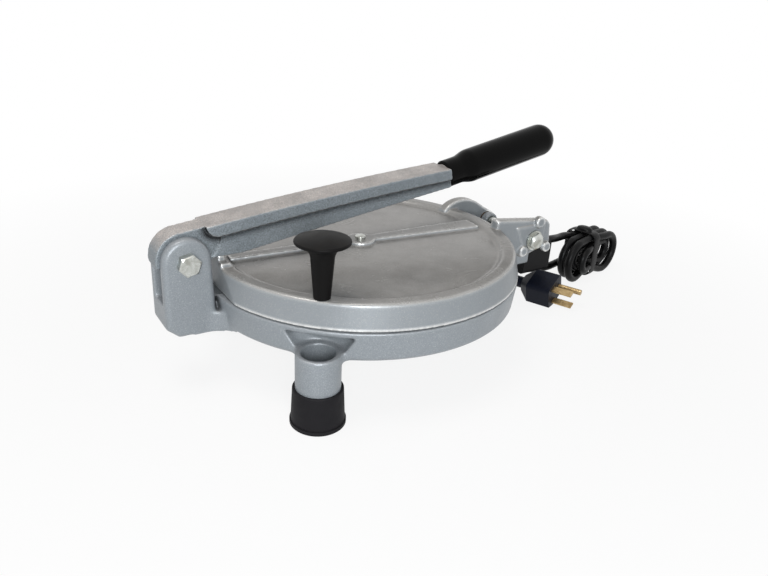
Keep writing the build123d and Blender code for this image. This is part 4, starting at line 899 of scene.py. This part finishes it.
@dataclass
class Hank:
    """The tied cord: an outer set of turns, then an inner set, drawn in at the tie and fanned at one end.

    Attributes:
        centre: its middle on the floor.
        turned: its direction in degrees from X.
        half_run: half the length of its straight sides.
        outer: heights of the outer turns.
        inner: heights of the inner turns.
        step: from one layer to the next.
        layers: turns in each set.
        lift: height of its middle over the floor.
        drop: how far its ends sag.
        rise: how far its waist stands up.
        squeeze: share of its depth that is left at the tie.
        fan: growth of its depth at the left end.
        tie_at: place of the tie along it.
        waist_half: half the length of its tied waist.
        ease_in: how far inside a fold a straight side's first point lies.
        ease: share of the climb to the next layer at the near side of the tie.
        fold_points: control points of a fold.
        left_spare: how far out the left ends of the first outer and first inner turn stand.
        left_fan: how much further out each outer left fold stands.
        right_spare: how far out the first outer right fold stands.
        right_draw: how much further in each later one stands.
        inner_fan: how much the inner folds change from turn to turn.
    """

    centre: Vector
    turned: float = 13.0
    half_run: float = 17.2 * MM
    outer: Ply = Ply(17.0 * MM, 16.2 * MM)
    inner: Ply = Ply(9.8 * MM, 9.1 * MM)
    step: float = 8.8 * MM
    layers: int = 3
    lift: float = 22.2 * MM
    drop: float = 1.5 * MM
    rise: float = 0.5 * MM
    squeeze: float = 0.9
    fan: float = 1.1
    tie_at: float = -5 * MM
    waist_half: float = 4.5 * MM
    ease_in: float = 3.5 * MM
    ease: float = 0.25
    fold_points: int = 6
    left_spare: float = 1 * MM
    left_fan: float = 4.5 * MM
    right_spare: float = 2.4 * MM
    right_draw: float = 1.6 * MM
    inner_fan: float = 1.2 * MM

    def __post_init__(self) -> None:
        """Works out the hank's own directions and its origin."""
        self.along = Vector((math.cos(math.radians(self.turned)), math.sin(math.radians(self.turned)), 0))
        self.deep = Vector((self.along.y, -self.along.x, 0))
        self.middle = self.step * self.layers / 2
        self.origin = self.centre - self.deep * self.middle + Vector((0, 0, self.lift))

    def at(self, u: float, v: float, w: float) -> Vector:
        """A point from distances along the hank, up, and through its layers."""
        return self.origin + self.along * u + Vector((0, 0, v)) + self.deep * w

    def bend(self, side: int, reach: float, radius: float, w: float) -> list[Vector]:
        """Finds the control points of one folded end.

        Args:
            side: 1 over the right end, -1 up the left one.
            reach: how far out the fold's centre stands.
            radius: the fold's radius.
            w: the fold's depth.

        Returns:
            The points in the order that the cord runs.
        """
        part = math.pi / self.fold_points
        wide = radius / math.cos(part / 2)
        spread = self.middle + (w - self.middle) * (self.fan if side < 0 else 1.0)
        points = []
        for place in range(self.fold_points):
            turn = (math.pi - part) / 2 - part * place
            rise = side * wide * math.sin(turn) - self.drop
            points.append(self.at(side * (reach + wide * math.cos(turn)), rise, spread))
        return points

    def run(self, side: int, plies: tuple[Ply, Ply], w: tuple[float, float],
            reach: tuple[float, float]) -> list[Vector]:
        """Finds the control points of a long side, easing from one layer to the next under the tie.

        Args:
            side: 1 along the top to the right, -1 along the bottom to the left.
            plies: the sets of turns that it starts and ends in.
            w: its depths at the start and the end.
            reach: how far out the folds stand before and after it.

        Returns:
            Four points: one near each fold and two at the waist.
        """
        first, last = plies
        points = [self.at(-side * (reach[0] - self.ease_in), side * first.end - self.drop, w[0])]
        for place, eased in ((-1, self.ease), (1, 1 - self.ease)):
            height = side * (first.waist + (last.waist - first.waist) * eased) + self.rise
            depth = self.middle + (w[0] + (w[1] - w[0]) * eased - self.middle) * self.squeeze
            points.append(self.at(side * place * self.waist_half + self.tie_at, height, depth))
        points.append(self.at(side * (reach[1] - self.ease_in), side * last.end - self.drop, w[1]))
        return points

    def turns(self) -> list[Vector]:
        """Finds the control points of the whole winding.

        Returns:
            The points from the supply side to the plug side.
        """
        half = self.step / 2
        outer, inner = (self.outer, self.outer), (self.inner, self.inner)
        points = []
        w = half
        left = self.half_run + self.left_spare
        for layer in range(self.layers):
            right = self.half_run - self.right_draw * layer + self.right_spare
            points += self.run(1, outer, (w, w + half), (left, right))
            points += self.bend(1, right, self.outer.end, w + half)
            if layer < self.layers - 1:
                left = self.half_run + self.left_fan * (layer + 1)
                points += self.run(-1, outer, (w + half, w + self.step), (right, left))
                points += self.bend(-1, left, self.outer.end, w + self.step)
                w += self.step
        w += half
        left = self.half_run + self.left_spare
        points += self.run(-1, (self.outer, self.inner), (w, w), (right, left))
        for layer in range(self.layers):
            right = self.half_run - self.inner_fan * (layer + 1)
            points += self.bend(-1, left, self.inner.end, w)
            points += self.run(1, inner, (w, w - half), (left, right))
            points += self.bend(1, right, self.inner.end, w - half)
            left = self.half_run + self.inner_fan * layer
            points += self.run(-1, inner, (w - half, w - self.step), (right, left))
            w -= self.step
        return points


@dataclass
class Tie:
    """The band that holds the hank at its waist, with a hump for its twisted end.

    Attributes:
        hank: what it holds.
        length: its width along the hank.
        wall: its thickness.
        corner: radius of its corners.
        knot: height of its hump.
        beside: how far the band stands outside the squeezed layers.
        above: how far it stands over and under the middles of the outer turns.
        knot_inset: from the band's top edges to the hump.
        knot_taper: shares of the hump's size that are left at its top.
    """

    hank: Hank
    length: float = 12 * MM
    wall: float = 1.4 * MM
    corner: float = 5.5 * MM
    knot: float = 4.5 * MM
    beside: float = 2.4 * MM
    above: float = 3.8 * MM
    knot_inset: float = 0.8 * MM
    knot_taper: tuple[float, float, float] = (0.95, 0.9, 1)

    def build(self, finish: bpy.types.Material) -> bpy.types.Object:
        """Opens a box into a rounded band, draws up its hump and gives it a wall.

        Args:
            finish: the band's material.

        Returns:
            The dressed tie.
        """
        hank = self.hank
        deep = hank.middle * hank.squeeze + self.beside
        tall = hank.outer.waist + self.above
        middle = hank.at(hank.tie_at, hank.rise, hank.middle)
        bpy.ops.object.select_all(action="DESELECT")
        bpy.ops.mesh.primitive_cube_add(size=1, location=middle, scale=(self.length, 2 * deep, 2 * tall),
                                        rotation=(0, 0, math.radians(hank.turned)))
        piece = bpy.context.object
        bpy.ops.object.transform_apply(location=True, rotation=True, scale=True)
        pick(piece, lambda normal: abs(normal.dot(hank.along)) > FACING)
        bpy.ops.mesh.delete(type="FACE")
        bpy.ops.object.mode_set(mode="OBJECT")
        for edge in piece.data.edges:
            ends = [piece.data.vertices[corner].co for corner in edge.vertices]
            edge.select = abs((ends[1] - ends[0]).normalized().dot(hank.along)) > FACING
        bpy.ops.object.mode_set(mode="EDIT")
        bpy.ops.mesh.select_mode(type="EDGE")
        bpy.ops.mesh.bevel(offset=self.corner, segments=5, affect="EDGES")
        pick(piece, lambda normal: normal.z > LEVEL)
        bpy.ops.mesh.inset(thickness=self.knot_inset)
        draw_out((0, 0, self.knot))
        bpy.ops.transform.resize(value=self.knot_taper, center_override=middle + Vector((0, 0, tall)))
        bpy.ops.object.mode_set(mode="OBJECT")
        modify(piece, "SOLIDIFY", thickness=self.wall, offset=1.0)
        modify(piece, "SUBSURF", levels=2, render_levels=2)
        bpy.ops.object.shade_smooth()
        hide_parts("cord_tie")
        settle(piece, "hank_tie", finish, Body.BASE)
        return piece


@dataclass
class SupplyCord:
    """The mains cord from the gland through its hank to the plug.

    Attributes:
        axis_x: place of the plates' axis along X.
        diameter: its thickness.
        length: its real length.
        hank_place: the hank's middle on the floor, in millimetres from the plates' axis.
        mouth: where the cord enters and leaves the hank, along it.
        entry_rise: how far over the outer turns it enters.
        entry_run: its straight run before the hank.
        exit_run: its straight run after the hank.
        plug_place: middle of the plug's face, in millimetres from the plates' axis.
        plug_turned: the plug's direction in degrees from X.
        plug_tail: from the plug's face back to the cord's end.
        plug_run: the cord's straight run before the plug.
    """

    axis_x: float
    diameter: float = 7 * MM
    length: float = 1.13
    hank_place: tuple[float, float, float] = (262, 14, 0)
    mouth: float = -27 * MM
    entry_rise: float = 1.5 * MM
    entry_run: float = 10.3 * MM
    exit_run: float = 13.2 * MM
    plug_place: tuple[float, float, float] = (183, -29, 12)
    plug_turned: float = -68.0
    plug_tail: float = 39 * MM
    plug_run: float = 11 * MM

    def from_axis(self, x: float, y: float, z: float) -> Vector:
        """A point in millimetres from the plates' axis."""
        return Vector((self.axis_x + x * MM, y * MM, z * MM))

    def hank(self) -> Hank:
        """The tied part of the cord, beside the plug."""
        return Hank(self.from_axis(*self.hank_place))

    def route(self) -> list[Vector]:
        """Finds the control points of the cord.

        Returns:
            The points from the gland to the plug.
        """
        # The stretches outside the hank, in millimetres from the plates' axis.
        supply = [(190, 6, 45.5), (203.9, 6, 45.5)]
        tail = [(206.2, 21.6, 10.7), (196.9, 32.3, 7.2), (187, 69.4, 4.9), (152.5, 72, 8), (139, 40.5, 11.1)]
        hank = self.hank()
        enter = hank.at(self.mouth, hank.outer.end + self.entry_rise, hank.step / 2)
        leave = hank.at(self.mouth, -hank.inner.end - hank.drop, 0)
        heading = math.radians(self.plug_turned)
        plug_way = Vector((math.cos(heading), math.sin(heading), 0))
        end = self.from_axis(*self.plug_place) - plug_way * self.plug_tail
        points = [self.from_axis(*place) for place in supply]
        points += [enter - hank.along * self.entry_run, enter]
        points += hank.turns()
        points += [leave, leave - hank.along * self.exit_run]
        points += [self.from_axis(*place) for place in tail]
        points += [end - plug_way * self.plug_run, end]
        return points

    def build(self, finish: bpy.types.Material, carried: list[bpy.types.Object]) -> bpy.types.Object:
        """Args:
            finish: the cord's material.
            carried: the pieces on it; not used.

        Returns:
            The dressed cord.
        """
        points = self.route()
        line = bpy.data.curves.new("supply_cord", "CURVE")
        line.dimensions = "3D"
        spline = line.splines.new("NURBS")
        spline.points.add(len(points) - 1)
        for knot, place in zip(spline.points, points):
            knot.co = (*place, 1.0)
        spline.order_u = 3
        spline.use_endpoint_u = True
        spline.resolution_u = 6
        line.bevel_depth = self.diameter / 2
        line.bevel_resolution = 6
        line.use_fill_caps = True
        line.materials.append(finish)
        cord = bpy.data.objects.new("supply_cord", line)
        bpy.context.scene.collection.objects.link(cord)
        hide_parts("supply_lead", "cord_hank", "plug_lead")
        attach(cord, Body.BASE.value)
        LOG.info("%s: %d points on %s", cord.name, len(points), Body.BASE.value)
        return cord


@dataclass(frozen=True)
class Lamp:
    """A round, soft lamp aimed at the press."""

    name: str
    place: tuple[float, float, float]
    size: float
    power: float
    colour: tuple[float, float, float]
    aim: tuple[float, float, float] = (0, 0, 0.06)

    def hang(self) -> None:
        """Makes the lamp and turns it to the press."""
        light = bpy.data.lights.new(self.name, "AREA")
        light.shape = "DISK"
        light.size = self.size
        light.energy = self.power
        light.color = self.colour
        lamp = bpy.data.objects.new(self.name, light)
        lamp.location = self.place
        lamp.rotation_euler = (Vector(self.place) - Vector(self.aim)).to_track_quat("Z", "Y").to_euler()
        bpy.context.scene.collection.objects.link(lamp)


@dataclass
class Studio:
    """Camera, soft lights and a pale floor.

    Attributes:
        axis_x: place of the plates' axis along X.
        place: the camera's place from the plates' axis.
        heading: the camera's turn from Y towards X in degrees.
        below: how far it looks down in degrees.
        roll: how far it leans in degrees.
        lens: its focal length in millimetres.
        shift: its shift across and up, as shares of the frame.
        floor_size: length of the floor's sides.
        lamps: the lamps.
    """

    axis_x: float
    place: tuple[float, float, float] = (-249.8 * MM, -403.5 * MM, 258.7 * MM)
    heading: float = 31.83
    below: float = 25.08
    roll: float = 2.19
    lens: float = 32.34
    shift: tuple[float, float] = (0.0327, 0.0076)
    floor_size: float = 30.0
    lamps: tuple[Lamp, ...] = (
        Lamp("key", place=(-0.42, -0.78, 0.36), size=0.38, power=5.6, colour=(0.95, 0.98, 1.0)),
        Lamp("top", place=(-0.35, -0.05, 1.1), size=0.6, power=4.5, colour=(1.0, 0.96, 0.92)),
    )

    def camera(self) -> None:
        """Sets the camera at the photograph's place and angle."""
        view = bpy.data.cameras.new("camera")
        view.sensor_width = 36.0
        view.lens = self.lens
        view.shift_x, view.shift_y = self.shift
        view.clip_start = 0.01
        camera = bpy.data.objects.new("camera", view)
        aim = Euler((math.radians(90 - self.below), 0, -math.radians(self.heading))).to_matrix()
        aim = aim @ Matrix.Rotation(math.radians(self.roll), 3, "Z")
        place = Vector(self.place) + Vector((self.axis_x, 0, 0))
        camera.matrix_world = Matrix.Translation(place) @ aim.to_4x4()
        bpy.context.scene.collection.objects.link(camera)
        bpy.context.scene.camera = camera

    def background(self) -> None:
        """Sets white surroundings for the camera and for reflections, softer light elsewhere."""
        world = bpy.data.worlds.new("surroundings")
        world.use_nodes = True
        tree = Tree(world.node_tree)
        tree.tree.nodes.clear()
        seen = tree.any_ray("Is Camera Ray", "Is Glossy Ray", "Is Transmission Ray")
        dim = tree.add("Background", Color=(0.95, 0.97, 1.0, 1.0), Strength=0.22)
        white = tree.add("Background", Color=(1, 1, 1, 1), Strength=1.0)
        mixed = tree.add("MixShader", Fac=seen)
        tree.put(mixed.inputs[1], dim.outputs[0])
        tree.put(mixed.inputs[2], white.outputs[0])
        tree.add("OutputWorld", Surface=mixed.outputs[0])
        bpy.context.scene.world = world

    def floor(self) -> None:
        """Lays a wide pale floor that keeps a soft shadow."""
        pale = (0.86, 0.86, 0.86, 1)
        paler = (0.9, 0.9, 0.9, 1)
        bpy.ops.mesh.primitive_plane_add(size=self.floor_size)
        floor = bpy.context.object
        floor.name = "floor"
        material, tree, skin = start_material("floor")
        spot = tree.add("TexCoord").outputs["Object"]
        speckle = tree.add("TexNoise", Vector=spot, Scale=90.0, Detail=3.0)
        fade = tree.spread(tree.length(spot), low=0.2, high=0.55, to_low=0.86, to_high=1.0)
        tree.put(skin.inputs["Base Color"], tree.mix(speckle.outputs["Fac"], pale, paler))
        tree.put(skin.inputs["Roughness"], 0.9)
        seen = tree.any_ray("Is Camera Ray", "Is Glossy Ray")
        glow = tree.add("Emission", Color=(1, 1, 1, 1), Strength=1.0)
        mixed = tree.add("MixShader", Fac=tree.maths("MULTIPLY", seen, fade))
        tree.put(mixed.inputs[1], skin.outputs[0])
        tree.put(mixed.inputs[2], glow.outputs[0])
        tree.put(tree.tree.nodes["Material Output"].inputs["Surface"], mixed.outputs[0])
        floor.data.materials.append(material)

    def build(self) -> None:
        """Sets the whole stage."""
        self.camera()
        self.background()
        self.floor()
        for lamp in self.lamps:
            lamp.hang()
        bpy.context.scene.view_settings.view_transform = "Standard"


def cast_finishes() -> list[Finish]:
    """The finishes of the base, the lid and the lever."""
    # Each finish's side tone is painted shade and cool light on upright faces, its grimy tone is also
    # painted shade in corners, and its edge tone is partly rubbed paint and partly a painted highlight.
    return [
        CastFinish("cast_silver", light=tint(150, 154, 158), dark=tint(138, 142, 146),
                   flake=tint(178, 182, 186), side=tint(143, 149, 154), grime_and_shade=tint(56, 58, 60),
                   worn_and_highlight=tint(200, 204, 207), grain=0.6 * MM, flake_share=0.08, bump=0.36, rough=0.36,
                   side_rough=0.36, metal=0.16, wear=0.4),
        CastFinish("cast_lid", light=tint(153, 151, 148), dark=tint(142, 140, 137),
                   flake=tint(172, 172, 170), side=tint(140, 146, 151), grime_and_shade=tint(48, 48, 48),
                   worn_and_highlight=tint(250, 250, 248), grain=0.6 * MM, flake_share=0.06, bump=0.16, rough=0.2,
                   side_rough=0.32, metal=0.14, edge=2.4 * MM, wear=0.78, shine=0.36, bare=0.75),
        CastFinish("cast_lever", light=tint(208, 200, 195), dark=tint(181, 174, 170),
                   flake=tint(150, 158, 162), side=tint(122, 134, 142), grime_and_shade=tint(3, 3, 4),
                   worn_and_highlight=tint(184, 192, 196), grain=0.7 * MM, flake_share=0.14, bump=0.8, rough=0.36,
                   side_rough=0.4, metal=0.16, reach=6 * MM, closed=0.92, open_at=0.96, wear=0.5,
                   shine=0.25),
    ]


def metal_finishes(axis_x: float) -> list[Finish]:
    """The finishes of bolts, bearings, blades, elements and plates."""
    return [
        BoltFinish("zinc_steel", clean=tint(205, 208, 204), dull=tint(160, 160, 152), rough=0.24),
        BoltFinish("bronze", clean=tint(176, 138, 84), dull=tint(130, 98, 58), rough=0.3),
        BoltFinish("brass", clean=tint(194, 171, 128), dull=tint(150, 124, 84), rough=0.3),
        BoltFinish("element_steel", clean=tint(112, 106, 100), dull=tint(70, 62, 58), rough=0.4),
        TurnedFinish("plate_aluminium", clean=tint(200, 202, 204), dull=tint(168, 168, 166), axis_x=axis_x),
    ]


def moulded_finishes() -> list[Finish]:
    """The finishes of rubber, plastic and ceramic pieces."""
    # Each finish's second tone is settled dust and painted top light on what faces up.
    return [
        MouldedFinish("black_rubber", colour=tint(22, 21, 24), dusty_and_toplit=tint(34, 33, 35), rough=0.62,
                      bump=0.35, shine=0.18),
        MouldedFinish("knob_black", colour=tint(12, 11, 11), dusty_and_toplit=tint(15, 13, 11), rough=0.46,
                      bump=0.2, shine=0.1),
        MouldedFinish("grip_black", colour=tint(4, 4, 4), dusty_and_toplit=tint(6, 6, 5), rough=0.13,
                      bump=0.12, shine=0.08),
        MouldedFinish("box_black", colour=tint(13, 13, 15), dusty_and_toplit=tint(20, 20, 22), rough=0.45,
                      bump=0.3, shine=0.15),
        MouldedFinish("cord_black", colour=tint(8, 8, 9), dusty_and_toplit=tint(13, 13, 14), rough=0.34,
                      bump=0.2, shine=0.14),
        MouldedFinish("plug_navy", colour=tint(16, 19, 30), dusty_and_toplit=tint(24, 28, 40), rough=0.42,
                      bump=0.3, shine=0.15),
        MouldedFinish("ceramic_white", colour=tint(216, 212, 200), dusty_and_toplit=tint(196, 190, 176), rough=0.5,
                      bump=0.2),
    ]


def dress_castings(frame: dict, paint: dict[str, bpy.types.Material]) -> None:
    """Puts softened castings in place of the base, the lid and the lever.

    Args:
        frame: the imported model.
        paint: the materials by name.
    """
    castings = {
        "cast_silver": Casting("base_casting", Body.BASE, "cast_silver", voxel=0.9 * MM, passes=8),
        "cast_lid": Casting("lid_casting", Body.LID, "cast_silver", voxel=0.8 * MM, passes=4),
        "cast_lever": Casting("lever_arm", Body.LEVER, "cast_silver", voxel=0.7 * MM, passes=3),
    }
    for finish, casting in castings.items():
        casting.build(frame, paint[finish])


def paint_nodes(frame: dict, paint: dict[str, bpy.types.Material]) -> None:
    """Gives every CAD node the finish of its slot.

    Args:
        frame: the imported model.
        paint: the materials by name.
    """
    for node in frame["nodes"].values():
        for holder in node.material_slots:
            holder.material = paint.get(holder.material.name.split(".")[0], holder.material)


def dress_fasteners(frame: dict, paint: dict[str, bpy.types.Material]) -> None:
    """Turns the corners off the bolts and nuts of the pivot and the hinge.

    Args:
        frame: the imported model.
        paint: the materials by name.
    """
    for fastener in (
        HexFastener("pivot_bolt", Body.BASE, outward=-1, across=13 * MM),
        HexFastener("pivot_nut", Body.BASE, outward=1, across=13 * MM),
        HexFastener("hinge_bolt", Body.BASE, outward=-1, across=12 * MM, face_share=0.4, lean=38.0),
        HexFastener("hinge_nut", Body.BASE, outward=1, across=12 * MM),
    ):
        fastener.build(frame, paint["zinc_steel"])


def dress_cord(frame: dict, paint: dict[str, bpy.types.Material], axis_x: float) -> None:
    """Lays the cord with its strain relief, its tie and its plug.

    Args:
        frame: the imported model.
        paint: the materials by name.
        axis_x: place of the plates' axis along X.
    """
    sleeve_start = (175, 6, 45.5)
    cord = SupplyCord(axis_x)
    StrainRelief(cord.from_axis(*sleeve_start)).build(paint["cord_black"])
    tie = Tie(cord.hank()).build(paint["cord_black"])
    cord.build(paint["cord_black"], [tie, frame["nodes"]["plug_body"], frame["nodes"]["plug_prongs"]])


def main() -> None:
    """Loads the frame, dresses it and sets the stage."""
    logging.basicConfig(level=logging.INFO)
    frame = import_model()
    low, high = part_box("lower_platen")
    axis_x = (low[0] + high[0]) / 2
    shared = Shared()
    kinds = cast_finishes() + metal_finishes(axis_x) + moulded_finishes()
    paint = {kind.name: kind.make(shared) for kind in kinds}
    dress_castings(frame, paint)
    paint_nodes(frame, paint)
    dress_fasteners(frame, paint)
    dress_cord(frame, paint, axis_x)
    Studio(axis_x).build()


if __name__ == "__main__":
    main()
